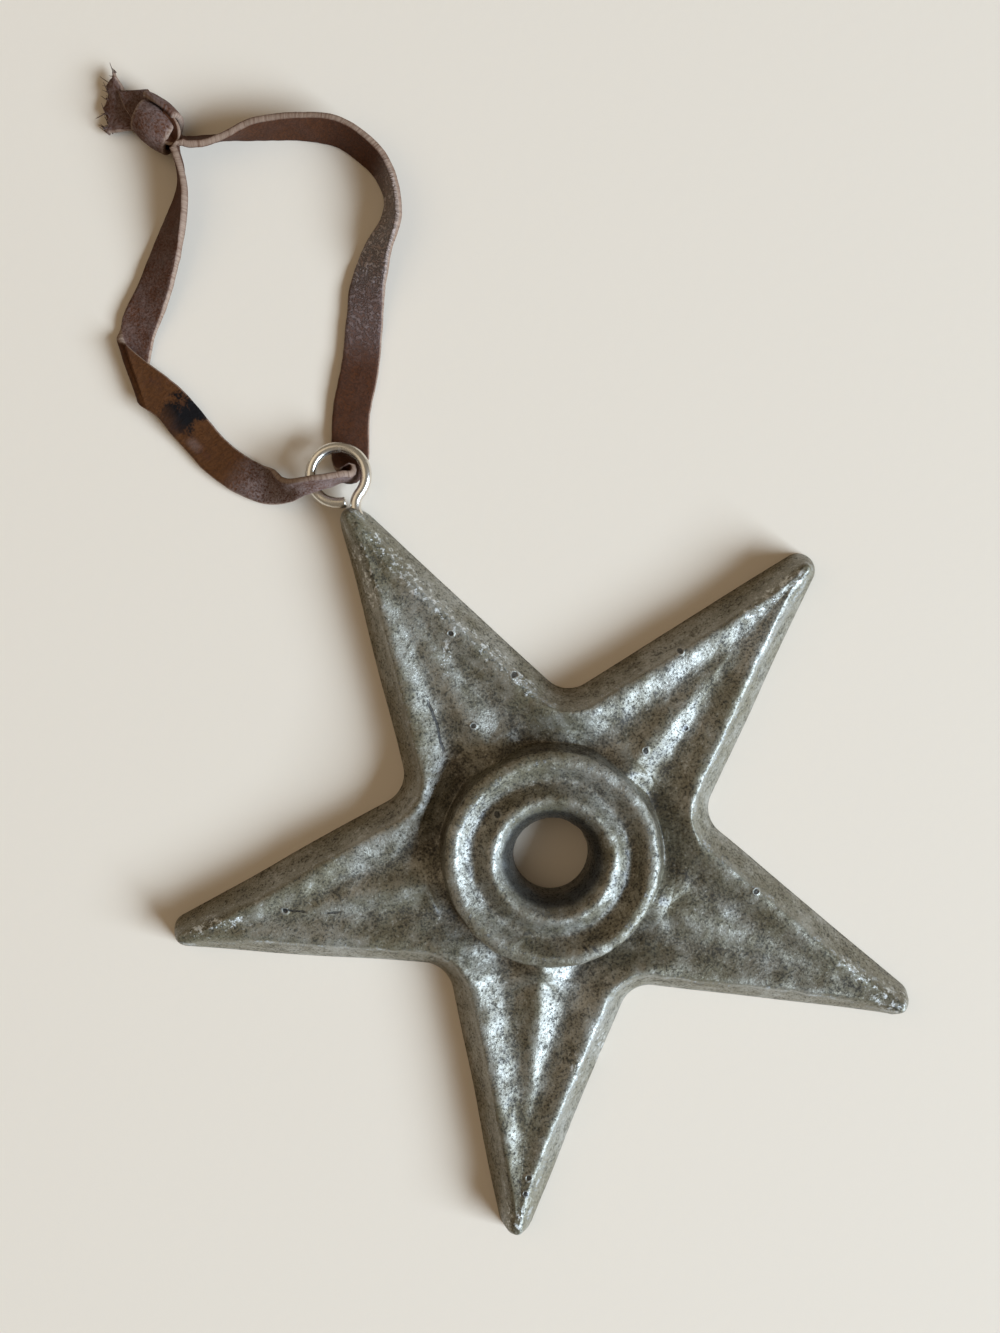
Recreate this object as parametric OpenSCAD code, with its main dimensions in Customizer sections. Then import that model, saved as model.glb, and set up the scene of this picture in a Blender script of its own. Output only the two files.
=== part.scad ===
// Star anchor-plate ornament: a cast star with a round hub, a screw eye in one point and a tied lace.
// The star lies on its flat back. The origin is on the hub bore's axis at the back, and +Y runs to the
// point that carries the screw eye. Millimetres.

/* [Star casting] */
// Distance from the centre to the end of a point
point_radius = 50; // [46:1:56]
// Radius of a point's rounded end, seen from above
tip_round = 2.2; // [1.8:0.1:2.6]
// Distance from the centre to the bottom of the notch between two arms
notch_radius = 21; // [19:0.5:23]
// Radius of a notch's rounded bottom
notch_round = 4; // [3:0.5:5]
// Distance from the outline in to the crest of the rim
rim_inset = 2.8; // [2.4:0.1:3.2]
// Height of the rim's crest beside the hub
rim_h = 5.4; // [5:0.1:6]
// Height of the rim's crest at the points
tip_h = 4.8; // [4.5:0.1:5.4]
// Height of the valley floor beside the hub
valley_h = 3; // [2.4:0.1:3.6]
// Distance from the centre at which the valley has risen to the rim
valley_end = 45; // [42:0.5:46]
// Height of the centre rib where it runs into the hub
rib_h = 5.6; // [4.6:0.1:6.4]
// Half the width of the centre rib where it runs into the hub
rib_half_w = 5; // [4:0.25:5.5]
// Distance from the centre at which the centre rib has faded out
rib_end = 35; // [30:1:38]

/* [Hub] */
// Radius of the hub's outer wall
hub_r = 13.4; // [12.8:0.1:14]
// Height of the hub's bead and collar over the back
hub_h = 8; // [7.4:0.1:9]
// Distance from the hub's outer wall in to the crest of the bead
bead_in = 1.2; // [0.9:0.1:1.5]
// Distance from the hub's outer wall in to the bottom of the groove between bead and collar
groove_in = 3.6; // [3:0.1:4.2]
// Height of the bottom of the groove over the back
groove_h = 6.6; // [6:0.1:7.2]
// Radius of the crest of the inner collar
collar_r = 7.5; // [7.2:0.1:8]
// Radius of the bore's flared mouth
mouth_r = 6.4; // [5.8:0.1:6.8]
// Height of the edge of the mouth over the back
mouth_h = 7.2; // [6.6:0.1:7.4]
// Radius of the straight throat of the bore
bore_r = 4.8; // [4.2:0.1:5.2]
// Length of the straight throat, from the back
throat_l = 3.5; // [2.5:0.25:4.5]

/* [Screw eye] */
// Diameter of the wire
wire_d = 1.4; // [1.2:0.05:1.4]
// Diameter of the shank over its thread
shank_d = 1.5; // [1.4:0.05:1.6]
// Inside diameter of the ring
eye_d = 5.6; // [5.2:0.1:6.4]
// Radius, at the wire's axis, of the bend between shank and ring
neck_r = 2.5; // [2:0.1:3]
// Length of shank inside the point
shank_l = 11; // [8:0.5:14]
// Height of the wire's axis over the back
eye_z = 2.8; // [2.6:0.1:3]
// Angle on the ring between its free end and the neck
ring_gap = 50; // [44:1:60]
// Angle by which the screw leans to the right of the arm's axis
eye_lean = 4.9; // [0:0.1:6]

/* [Lace] */
// Width of the lace
lace_w = 4.8; // [4.4:0.1:5]
// Thickness of the lace
lace_t = 1; // [0.8:0.05:1.1]
// Length of the knot
knot_l = 7; // [6.4:0.1:7.4]
// Radius of the wrap round the knot
knot_r = 2.5; // [2.4:0.05:2.7]

/* [Hidden] */
$fn = 48;

// Clearance round the shank in its pilot hole, and of the lace from the ring and across its folds
pilot_gap = 0.05;
lace_gap = 0.3;
// How far a cut runs past a face, and how deep the hub's foot starts inside the plate
cut = 1;
// The wire is drawn a little thinner round the neck's bend, which runs on into the ring and the shank
neck_thin = 0.02;
neck_lap = 2;

// Plan of one arm: s runs out along the arm, y across it. The straight edge is tangent to the tip's arc and
// to the notch's arc.
points = 5;
half_pitch = 180 / points;
tip_c = [point_radius - tip_round, 0];
notch_c = (notch_radius + notch_round) * [cos(half_pitch), sin(half_pitch)];
tip_to_notch = notch_c - tip_c;
edge_angle = atan2(tip_to_notch.y, -tip_to_notch.x) - asin((tip_round + notch_round) / norm(tip_to_notch));
edge_dir = [-cos(edge_angle), sin(edge_angle)];
edge_in = [-sin(edge_angle), -cos(edge_angle)];
tip_tangent = tip_c - tip_round * edge_in;
notch_tangent = notch_c + notch_round * edge_in;

// Share of the rim's inset and of its height up to which the outer wall is straight
wall_run = 0.75;
wall_rise = 0.88;
// How slowly the valley floor starts to rise, and how far the inner slopes are rounded, from 0 to 1
valley_bend = 1.5;
slope_round = 0.5;
// Steps along the tip's arc, the straight edge and the notch's arc, and rows from the outline to the arm's
// axis
tip_steps = 2;
edge_steps = 8;
notch_steps = 3;
last = tip_steps + edge_steps + notch_steps;
rim_rows = [0, wall_run / 2, wall_run, 1];
inner_rows = 5;
rows = len(rim_rows) + inner_rows;
// Share of the way to the arm's axis that the rim's rows take where the arm is narrow
narrow_share = 0.85;
// Spacing of the ends of the tip's columns along the arm's axis, as a share of the tip's radius
tip_spacing = 0.3;

function mix(a, b, q) = a + (b - a) * q;
function limit(q) = min(max(q, 0), 1);
function smooth(q) = q * q * (3 - 2 * q);
function unit(v) = v / norm(v);

// Heights of the casting's top
function rim_z(s) = mix(rim_h, tip_h, limit((s - notch_radius) / (point_radius - notch_radius)));
function fade(s) = limit((rib_end - s) / (rib_end - hub_r));
function rise(s) = pow(limit((s - hub_r) / (valley_end - hub_r)), valley_bend);
function valley_z(s) = mix(valley_h, rim_z(s), rise(s));
function rib_z(s) = valley_z(s) + (rib_h - valley_h) * fade(s);
function wall(q) = q < wall_run
    ? q * wall_rise / wall_run
    : 1 - (1 - wall_rise) * pow((1 - q) / (1 - wall_run), 2);
function edge_inset(p) = (p - tip_tangent) * edge_in;
function inset(p) = (p - tip_c) * edge_dir < 0
    ? tip_round - norm(p - tip_c)
    : (p - notch_c) * edge_dir > 0 ? norm(p - notch_c) - notch_round : edge_inset(p);
function slope(q) = mix(q, smooth(q), slope_round);
function inner_z(p, d, rib_w, valley_d) = p.y < rib_w
    ? mix(valley_z(p.x), rib_z(p.x), smooth(1 - p.y / rib_w))
    : mix(rim_z(p.x), valley_z(p.x), slope(limit((d - rim_inset) / (valley_d - rim_inset))));
function top_z(p) =
    let (d = max(inset(p), 0), rib_w = rib_half_w * fade(p.x), valley_d = edge_inset([p.x, rib_w]))
    d < rim_inset ? rim_z(p.x) * wall(d / rim_inset) : inner_z(p, d, rib_w, valley_d);

// A column starts at a point of the outline and runs in: [point, inward direction, way to the arm's axis]
function tip_column(q) = let (n = [-cos(q * (90 - edge_angle)), -sin(q * (90 - edge_angle))])
    [tip_c - tip_round * n, n, tip_round];
function edge_column(q) = let (p = mix(tip_tangent, notch_tangent, q)) [p, edge_in, p.y / cos(edge_angle)];
function notch_column(q) = let (a = mix(270 - edge_angle, 180 + half_pitch, q), n = [cos(a), sin(a)])
    [notch_c + notch_round * n, n, notch_radius];
function notch_share(i) = limit((i - tip_steps - edge_steps) / notch_steps);
function column(i) = i <= tip_steps
    ? tip_column(i / tip_steps)
    : i <= tip_steps + edge_steps
    ? edge_column((i - tip_steps) / edge_steps)
    : notch_column(notch_share(i));
function crest(c) = c[0] + c[1] * min(rim_inset, narrow_share * c[2]);
function spine_s(i) = i <= tip_steps
    ? tip_c.x - tip_round * tip_spacing * (i + 1)
    : crest(column(i)).x * (1 - notch_share(i));
function row_point(i, j) = let (c = column(i)) j < len(rim_rows)
    ? mix(c[0], crest(c), rim_rows[j])
    : mix(crest(c), [spine_s(i), 0], (j - len(rim_rows) + 1) / (inner_rows + 1));

// Arm k in the part's frame; side is 1 to the left of the arm's axis and -1 to its right
function arm_angle(k) = 90 + 360 / points * k;
function turned(p, a) = [p.x * cos(a) - p.y * sin(a), p.x * sin(a) + p.y * cos(a)];
function placed(p, k, side) = let (q = turned([p.x, side * p.y], arm_angle(k))) [q.x, q.y, top_z(p)];
function column_points(k, side, i) = [for (j = [0 : rows - 1]) placed(row_point(i, j), k, side)];
function arm_points(k) = [
    for (i = [0 : last - 1]) placed([spine_s(i), 0], k, 1),
    each column_points(k, 1, 0),
    for (side = [-1, 1], i = [1 : last - 1]) each column_points(k, side, i),
    each column_points(k, 1, last)
];
arm_size = last + 2 * last * rows;
function spine_at(k, i) = i == last ? 0 : 1 + k * arm_size + i;
function notch_at(k, j) = 1 + ((k + points) % points + 1) * arm_size - rows + j;
function row_at(k, side, i, j) = j == rows
    ? spine_at(k, i)
    : i == last
    ? notch_at(side > 0 ? k : k - 1, j)
    : 1 + k * arm_size + last + (i == 0 ? 0 : rows * (i + (side > 0 ? last - 1 : 0))) + j;
function top_faces(k, side) = [
    for (i = [0 : last - 1], j = [0 : rows - 1])
        let (a = row_at(k, side, i, j), b = row_at(k, side, i + 1, j))
        let (c = row_at(k, side, i + 1, j + 1), d = row_at(k, side, i, j + 1))
        each side > 0 ? [[a, d, b], [d, c, b]] : [[a, b, d], [d, b, c]]
];
function back_faces(k) = [
    [row_at(k, 1, 0, 0), row_at(k, 1, 1, 0), row_at(k, -1, 1, 0)],
    for (i = [1 : last - 1])
        [row_at(k, -1, i, 0), row_at(k, 1, i, 0), row_at(k, 1, i + 1, 0), row_at(k, -1, i + 1, 0)]
];

// The star without hub and bore, as one closed surface from the outline over the rims to the arms' axes
module star_plate() {
    polyhedron(
        points = [[0, 0, top_z([0, 0])], for (k = [0 : points - 1]) each arm_points(k)],
        faces = [
            for (k = [0 : points - 1], side = [-1, 1]) each top_faces(k, side),
            for (k = [0 : points - 1]) each back_faces(k),
            [for (k = [0 : points - 1]) notch_at(k, 0)]
        ]
    );
}

// Half waves run from one crest or hollow of the hub's profile to the next
wave_steps = 5;
bead_r = hub_r - bead_in;
groove_r = hub_r - groove_in;
// Spread of the hub's wall at its foot, and height of its rounded shoulder as a share of its width
hub_foot = 1.2;
hub_shoulder = 0.6;
function wave(a, b) = [for (i = [0 : wave_steps - 1])
    let (q = i / wave_steps) [mix(a.x, b.x, q), mix(a.y, b.y, smooth(q))]];
hub_profile = [
    [0, cut],
    [0, mouth_h],
    each wave([mouth_r, mouth_h], [collar_r, hub_h]),
    each wave([collar_r, hub_h], [groove_r, groove_h]),
    each wave([groove_r, groove_h], [bead_r, hub_h]),
    for (i = [0 : wave_steps])
        let (a = 90 - 90 * i / wave_steps)
        [bead_r + bead_in * cos(a), hub_h - bead_in * hub_shoulder * (1 - sin(a))],
    [hub_r + hub_foot, cut]
];

// Straight throat and flared mouth of the bore
bore_profile = [
    [0, -cut],
    [bore_r, -cut],
    for (i = [0 : wave_steps])
        let (q = i / wave_steps) [mix(bore_r, mouth_r, q * q), mix(throat_l, mouth_h, q)],
    [mouth_r, hub_h + cut],
    [0, hub_h + cut]
];

// Lengths of the screw eye from the inner end of its shank to the neck's bend, which starts just inside the
// end of the point, and to the middle of the ring
neck_sink = 0.45;
neck_l = shank_l - neck_sink;
ring_r = (eye_d + wire_d) / 2;
ring_l = neck_l + sqrt(ring_r * ring_r + 2 * ring_r * neck_r);
neck_turn = atan2(ring_l - neck_l, neck_r);
shank_end = [0, point_radius - shank_l, eye_z];
ring_c = [shank_end.x + ring_l * sin(eye_lean), shank_end.y + ring_l * cos(eye_lean)];

module star_casting() {
    color("#77756b")
    difference() {
        union() {
            star_plate();
            rotate_extrude() polygon(hub_profile);
        }
        rotate_extrude() polygon(bore_profile);
        translate(shank_end)
            rotate([0, 0, -eye_lean])
            translate([0, -pilot_gap, 0])
            rotate([-90, 0, 0])
            cylinder(d = shank_d + 2 * pilot_gap, h = shank_l + cut);
    }
}

// Part of a ring of wire of diameter d and radius r about the origin, from angle a on through a turn
module wire_arc(d, r, a, turn) {
    rotate([0, 0, a]) rotate_extrude(angle = turn) translate([r, 0]) circle(d = d);
}

module screw_eye() {
    color("#d8cbb0")
    translate(shank_end)
    rotate([0, 0, -eye_lean]) {
        rotate([-90, 0, 0]) cylinder(d = shank_d, h = neck_l);
        translate([neck_r, neck_l, 0])
            wire_arc(wire_d - neck_thin, neck_r, 180 - neck_turn - neck_lap, neck_turn + 2 * neck_lap);
        translate([0, ring_l, 0]) wire_arc(wire_d, ring_r, -neck_turn, 360 - ring_gap);
    }
}

// The lace's route. Each point is [x, y, lift, lean, pinch]: x and y from the middle of the ring, the
// height of the lace's lowest edge over the table, the angle by which its left edge is raised, and how far
// it is folded lengthwise, from 0 to 1. The route runs from the knot down the left strand, through the ring
// and up the right strand.
over_ring = eye_z + wire_d / 2 + lace_gap;
// Lift where the lace lies on the table, and distance of the folds from the middle of the ring
lay = 0.1;
fold_y = 5.5;
// The left strand is folded over at its corner, so that its lower half starts out on top of the upper half:
// middle and direction of the crease, its slant to the strand, and the bend's radius at the lace's middle.
// A point of this fold gives the height of the lace's middle as its lift, and has a sixth value.
corner = [-16.8, 25.8];
crease = 252;
slant = 35;
fold_r = (lace_t + lace_gap) / 2;
fold_steps = 4;
function fold_point(a) =
    let (along = [cos(crease), sin(crease)], out = [along.y, -along.x])
    let (shift = fold_r * (a - 90) * PI / 180 / tan(slant))
    let (p = corner + out * (fold_r * (sin(a) - 1) - lace_t / 2) + along * shift)
    [p.x, p.y, lay + lace_t / 2 + fold_r * (1 - cos(a)), a, 0, crease];
left_route = [
    [3.2, 45.6, lay, 86, 0],
    [2.7, 43.6, lay, 82, 0],
    [1.6, 41.3, lay, 70, 0],
    [-0.4, 39, lay, 54, 0],
    [-3.3, 36.4, lay, 37, 0],
    [-8.1, 32.4, lay, 20, 0],
    [-11.5, 29.8, lay, 4, 0],
    for (k = [0 : fold_steps]) fold_point(180 * k / fold_steps),
    [-14.5, 18, lay + 0.85 * lace_t, 180, 0],
    [-13.6, 14.2, 0.3, 180, 0],
    [-12.3, 10, lay, 180, 0],
    [-10.2, fold_y + lace_gap / 2, lay, 180, 0]
];
bight_route = [
    [-10, fold_y - lace_gap / 2, lay, 0, 0],
    [-8.5, 3.4, 0.6, 6, 0.1],
    [-6.5, 1.7, 2.2, 8, 0.5],
    [-4.4, 0.9, over_ring, 0, 1],
    [-2.8, 0.6, over_ring, 0, 1],
    [-1.2, 0.5, 3, 0, 1],
    [0.3, 0.8, 1.6, 0, 1],
    [1.5, 1.6, 0.2, 0, 0.8],
    [2.9, 3.1, lay, 0, 0.35],
    [4.7, fold_y - lace_gap / 2, lay, 0, 0]
];
right_route = [
    [4.9, fold_y + lace_gap / 2, lay, 0, 0],
    [9.7, 11.2, lay, 0, 0],
    [12.6, 15.1, lay, 0, 0],
    [15.6, 19, lay, -6, 0],
    [19, 22, lay, -30, 0],
    [22.4, 24.3, lay, -58, 0],
    [24.2, 26.6, lay, -76, 0],
    [24.8, 29.6, lay, -80, 0],
    [23.9, 33.6, lay, -70, 0],
    [22, 36.8, lay, -60, 0],
    [18.2, 39.9, lay, -52, 0],
    [13.1, 42.2, lay, -62, 0],
    [8.9, 43.3, lay, -76, 0],
    [6.3, 44.2, lay, -84, 0],
    [4.5, 45.7, lay, -88, 0]
];
tail_routes = [
    [[2.2, 54.1, 0.2, 84, 0], [2.5, 54.9, 0.2, 70, 0], [3, 55.8, lay, 56, 0]],
    [[0.9, 53.6, 0.2, -84, 0], [-0.1, 54.5, 0.2, -64, 0], [-1.6, 55.7, lay, -40, 0]]
];
knot_start = [4.1, 46.5];
knot_turn = 22;
wrap_turn = -5;

// The lace's cross-section: a flat strip with bevelled edges, narrower and thicker where it is pinched
bevel = 0.3;
sides = 8;
function strip_w(p) = lace_w * (1 - p[4] / 2);
function strip_t(p) = lace_t * (1 + p[4]);
function quarter(w, t) = let (b = bevel * lace_t) [[w / 2, t / 2 - b], [w / 2 - b, t / 2]];
function section(w, t) = let (q = quarter(w, t))
    [q[0], q[1], [-q[1].x, q[1].y], [-q[0].x, q[0].y], -q[0], -q[1], [q[1].x, -q[1].y], [q[0].x, -q[0].y]];
function in_fold(p) = len(p) > 5;
function strip_z(p) = in_fold(p)
    ? p[2]
    : p[2] + (strip_w(p) * abs(sin(p[3])) + strip_t(p) * abs(cos(p[3]))) / 2;
function centre(p) = [ring_c.x + p.x, ring_c.y + p.y, strip_z(p)];
function heading(route, i) = unit(centre(route[min(i + 1, len(route) - 1)]) - centre(route[max(i - 1, 0)]));
function left_of(t) = unit([-t.y, t.x, 0]);

// Directions across the strip and out of its face. In the corner's fold the strip is crossed along the
// crease, and where a strand meets the bight it is cut along X, so both reach further across it.
across_fold = [cos(crease), sin(crease), 0] / sin(slant);
function out_of_fold(a) = [-sin(crease) * sin(a), cos(crease) * sin(a), cos(a)];
function across(route, i) = let (t = heading(route, i), n = left_of(t))
    n * cos(route[i][3]) + cross(t, n) * sin(route[i][3]);
function across_cut(route, i) = [cos(route[i][3]) / left_of(heading(route, i)).x, 0, 0];
function directions(route, i, cut_here) = let (p = route[i])
    in_fold(p)
    ? [across_fold, out_of_fold(p[3])]
    : cut_here
    ? [across_cut(route, i), [0, 0, cos(p[3])]]
    : [across(route, i), cross(heading(route, i), across(route, i))];
function strip_ring(route, i, cut_here) = let (p = route[i], d = directions(route, i, cut_here))
    [for (q = section(strip_w(p), strip_t(p))) centre(p) + d[0] * q.x + d[1] * q.y];

// A strip along a route, with the ends that meet the bight, if any, cut along X
module strip(route, cut_at = []) {
    end = len(route) - 1;
    polyhedron(
        points = [for (i = [0 : end]) each strip_ring(route, i, len(search(i, cut_at)) > 0)],
        faces = [
            [for (j = [0 : sides - 1]) j],
            for (i = [0 : end - 1], j = [0 : sides - 1])
                let (a = i * sides + j, b = i * sides + (j + 1) % sides)
                each [[a, a + sides, b], [b, a + sides, b + sides]],
            [for (j = [sides - 1 : -1 : 0]) end * sides + j]
        ]
    );
}

lace_brown = "#553a30";

module lace_left_strand() {
    color(lace_brown) strip(left_route, [len(left_route) - 1]);
}

module lace_bight() {
    color(lace_brown) strip(bight_route, [0, len(bight_route) - 1]);
}

module lace_right_strand() {
    color(lace_brown) strip(right_route, [0]);
}

// The knot: the strands' core with one full-width wrap round it
module lace_knot() {
    core_r = knot_r - lace_t;
    color(lace_brown)
    translate([ring_c.x + knot_start.x, ring_c.y + knot_start.y, knot_r])
        rotate([0, 0, knot_turn]) {
            rotate([-90, 0, 0]) cylinder(r = core_r, h = knot_l);
            translate([0, knot_l / 2, 0])
                rotate([0, 0, wrap_turn])
                rotate([-90, 0, 0])
                rotate_extrude() polygon([
                    [0, -lace_w / 2],
                    for (i = [0 : wave_steps])
                        let (q = i / wave_steps)
                        [mix(core_r, knot_r, sin(180 * q)), mix(-lace_w / 2, lace_w / 2, q)],
                    [0, lace_w / 2]
                ]);
        }
}

module lace_tails() {
    color(lace_brown) for (route = tail_routes) strip(route);
}

star_casting();
screw_eye();
lace_left_strand();
lace_bight();
lace_right_strand();
lace_knot();
lace_tails();
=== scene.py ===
"""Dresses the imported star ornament: a cast star with a hub, a screw eye and a knotted leather lace."""
import math

import bmesh
import bpy
import numpy as np
from bpy.props import FloatProperty, FloatVectorProperty, PointerProperty
from mathutils import Matrix, Vector, noise


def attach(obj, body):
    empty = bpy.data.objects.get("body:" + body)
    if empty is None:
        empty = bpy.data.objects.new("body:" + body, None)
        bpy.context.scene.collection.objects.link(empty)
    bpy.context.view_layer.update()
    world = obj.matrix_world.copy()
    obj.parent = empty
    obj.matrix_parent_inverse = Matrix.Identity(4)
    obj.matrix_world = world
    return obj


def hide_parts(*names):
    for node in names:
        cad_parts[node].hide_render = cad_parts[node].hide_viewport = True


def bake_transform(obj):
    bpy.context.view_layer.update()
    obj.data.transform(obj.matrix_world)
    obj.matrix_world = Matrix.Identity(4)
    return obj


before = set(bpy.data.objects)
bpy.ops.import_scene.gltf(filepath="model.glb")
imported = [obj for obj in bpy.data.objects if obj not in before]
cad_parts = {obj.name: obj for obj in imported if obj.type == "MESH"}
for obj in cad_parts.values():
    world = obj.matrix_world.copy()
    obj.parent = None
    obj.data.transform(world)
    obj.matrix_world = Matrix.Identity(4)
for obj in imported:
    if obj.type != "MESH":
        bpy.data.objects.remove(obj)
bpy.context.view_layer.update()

bl_info = {
    "name": "Star anchor-plate ornament",
    "version": (1, 0, 0),
    "blender": (4, 5, 0),
    "location": "3D View > Sidebar > Ornament",
    "description": "Builds the cast star, its screw eye and its leather lace round the packed frame",
    "category": "Object",
}

MM = 0.001
POINTS = 5
# Height of the camera's sensor in millimetres
SENSOR = 36


# Settings


def length(name, description, millimetres):
    """A size, given here in millimetres and kept in metres."""
    size = millimetres * MM
    return FloatProperty(name=name, description=description, default=size, unit="LENGTH")


def angle(name, description, degrees):
    """An angle, given here in degrees and kept in radians."""
    turn = math.radians(degrees)
    return FloatProperty(name=name, description=description, default=turn, subtype="ANGLE")


def vector(name, description, default, subtype):
    """A place or a direction."""
    return FloatVectorProperty(name=name, description=description, default=default, subtype=subtype)


def tone(name, description, code):
    """A colour, given as the hex code that it has on a screen."""
    shown = [int(code[i : i + 2], 16) / 255 for i in (1, 3, 5)]
    linear = [c / 12.92 if c <= 0.04045 else ((c + 0.055) / 1.055) ** 2.4 for c in shown]
    return FloatVectorProperty(
        name=name, description=description, default=linear, min=0, max=1, subtype="COLOR"
    )


class CastingSettings(bpy.types.PropertyGroup):
    """Sizes and colours of the cast star."""

    point_radius: length("Point radius", "Distance from the centre to the end of a point", 50)
    tip_round: length("Tip rounding", "Radius of a point's rounded end, seen from above", 2.2)
    notch_radius: length("Notch radius", "Distance from the centre to the bottom of a notch", 21)
    notch_round: length("Notch rounding", "Radius of a notch's rounded bottom", 4)
    rim_inset: length("Rim inset", "Distance from the outline in to the crest of the rim", 2.6)
    rim_height: length("Rim height", "Height of the rim's crest beside the hub", 5.4)
    tip_height: length("Tip height", "Height of the rim's crest at the points", 4.8)
    valley_height: length("Valley height", "Height of the valley floor beside the hub", 3)
    valley_end: length("Valley end", "Distance from the centre where the valley meets the rim", 45)
    rib_height: length("Rib height", "Height of the centre rib where it runs into the hub", 5.6)
    rib_half_width: length("Rib half width", "Half the width of the centre rib at the hub", 5)
    rib_end: length("Rib end", "Distance from the centre at which the rib has faded out", 35)
    hub_radius: length("Hub radius", "Radius of the hub's outer wall", 13.4)
    hub_height: length("Hub height", "Height of the hub's bead and collar", 8)
    bead_in: length("Bead inset", "Distance from the hub's wall in to the crest of the bead", 1.2)
    groove_in: length("Groove inset", "Distance from the hub's wall to the bottom of the groove", 3.6)
    groove_height: length("Groove height", "Height of the bottom of the groove", 6.6)
    collar_radius: length("Collar radius", "Radius of the crest of the inner collar", 7.5)
    mouth_radius: length("Mouth radius", "Radius of the bore's flared mouth", 6.4)
    mouth_height: length("Mouth height", "Height of the edge of the mouth", 7.2)
    bore_radius: length("Bore radius", "Radius of the bore's straight throat", 4.8)
    throat: length("Throat", "Length of the straight throat, from the back", 3.5)
    sway: length("Sway", "How far the casting's outline wanders from the pattern", 0.16)
    ripple: length("Ripple", "Depth of the casting's small unevenness", 0.14)
    pewter: tone("Pewter", "Colour of the bare metallic paint", "#928d7f")
    olive: tone("Olive", "Colour of the duller cloudy patches", "#6b6249")
    patina: tone("Patina", "Colour of the brown wash in the hollows", "#4f4129")
    # Also the colour of the painted glints on the grain
    worn: tone("Worn edge", "Colour of the rubbed crests", "#dbd9d0")
    # Also the colour of the painted shade in the bore
    pit: tone("Pit", "Colour at the bottom of pits and cracks", "#14110d")


class EyeSettings(bpy.types.PropertyGroup):
    """Sizes and colours of the screw eye."""

    wire: length("Wire", "Diameter of the wire", 1.4)
    shank: length("Shank", "Diameter of the shank over its thread", 1.5)
    thread_depth: length("Thread depth", "Depth of the wood-screw thread", 0.18)
    thread_pitch: length("Thread pitch", "Distance from one turn of the thread to the next", 0.9)
    inside: length("Inside diameter", "Inside diameter of the ring", 5.6)
    neck_radius: length("Neck radius", "Radius of the bend between shank and ring", 2.5)
    shank_length: length("Shank length", "Length of shank inside the point", 11)
    neck_sink: length("Neck sink", "How far inside the point the neck's bend starts", 0.45)
    height: length("Height", "Height of the wire's axis over the back", 2.8)
    gap_angle: angle("Gap", "Angle on the ring between its free end and the neck", 35)
    lean: angle("Lean", "Angle by which the screw leans to the right of the arm's axis", 4.9)
    nickel: tone("Nickel", "Colour of the plating", "#e2dcd0")
    tarnish: tone("Tarnish", "Colour of the dull patches on the plating", "#a08a6c")


class LaceSettings(bpy.types.PropertyGroup):
    """Sizes and colours of the leather lace."""

    width: length("Width", "Width of the lace", 4.8)
    thickness: length("Thickness", "Thickness of the lace", 0.9)
    loop_length: length("Loop length", "Length of the loop from the knot through the eye and back", 133)
    clearance: length("Clearance", "Room inside the folded corner", 0.3)
    fold: length("Fold", "Distance from the middle of the ring to the folds of the strands", 5.5)
    knot_radius: length("Knot radius", "Radius of the wrap round the knot", 2.5)
    grain: tone("Grain side", "Colour of the smooth side", "#4d2a15")
    dusk: tone("Dusky grain", "Colour of the darker clouds on it", "#4b2c1c")
    rust: tone("Rust", "Colour of the reddish stretch", "#4d2c12")
    # Also the colour of the painted sheen on the crinkled stretch
    bloom_and_sheen: tone("Bloom", "Colour of the grey sheen on handled leather", "#8f7b72")
    # The ridges of the crinkled stretch get a painted highlight in this colour
    sheen: tone("Sheen", "Colour of the ridges of the crinkled stretch", "#cdc2c0")
    flesh: tone("Flesh side", "Colour of the rough underside", "#402a1d")
    cut_edge: tone("Cut edge", "Colour of the raw cut edges", "#a28872")
    # Also the colour of the painted shade in the creases of the crinkles
    stain: tone("Stain", "Colour of the dark stain", "#0a0605")


class StageSettings(bpy.types.PropertyGroup):
    """Camera, lamps and floor."""

    camera_at: vector(
        "Camera place", "Where the camera stands",
        (10.938 * MM, 27.086 * MM, 167.257 * MM), "TRANSLATION",
    )
    camera_look: vector(
        "Camera look", "Direction in which the camera looks", (-0.0266, -0.0202, -0.9994), "DIRECTION"
    )
    camera_up: vector(
        "Camera up", "Direction that is up in the picture", (0.5102, 0.8595, -0.0309), "DIRECTION"
    )
    lens: FloatProperty(
        name="Lens", description="Focal length in millimetres", default=1300 / 1333 * SENSOR
    )
    floor_size: length("Floor size", "Width of the floor", 3000)
    floor_colour: tone("Floor", "Colour of the floor", "#dccbb4")
    window_colour: tone("Window light", "Colour of the large soft lamp", "#cde4ff")
    fill_colour: tone("Fill light", "Colour of the light from all round", "#f3e2ca")


class OrnamentSettings(bpy.types.PropertyGroup):
    """All settings of the ornament."""

    casting: PointerProperty(type=CastingSettings)
    eye: PointerProperty(type=EyeSettings)
    lace: PointerProperty(type=LaceSettings)
    stage: PointerProperty(type=StageSettings)


# Small numeric helpers, for single numbers and arrays alike


def mix(a, b, q):
    return a + (b - a) * q


def limit(q):
    return np.clip(q, 0, 1)


def smooth(q):
    return q * q * (3 - 2 * q)


def smooth_max(a, b, width):
    """The larger of a and b, with a fillet of about that width where they cross."""
    q = limit(0.5 + (a - b) / (2 * width))
    return mix(b, a, q) + width * q * (1 - q)


def unit(v):
    return v / np.linalg.norm(v, axis=-1, keepdims=True)


def distances(line):
    """How far along a line each of its points is."""
    return np.concatenate([[0], np.cumsum(np.linalg.norm(np.diff(line, axis=0), axis=1))])


def near(distance, width):
    """1 at no distance, falling to almost 0 at twice the width."""
    return np.exp(-((distance / width) ** 2))


# Meshes


def new_object(name, data):
    """An object in the scene."""
    made = bpy.data.objects.new(name, data)
    bpy.context.scene.collection.objects.link(made)
    return made


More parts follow.
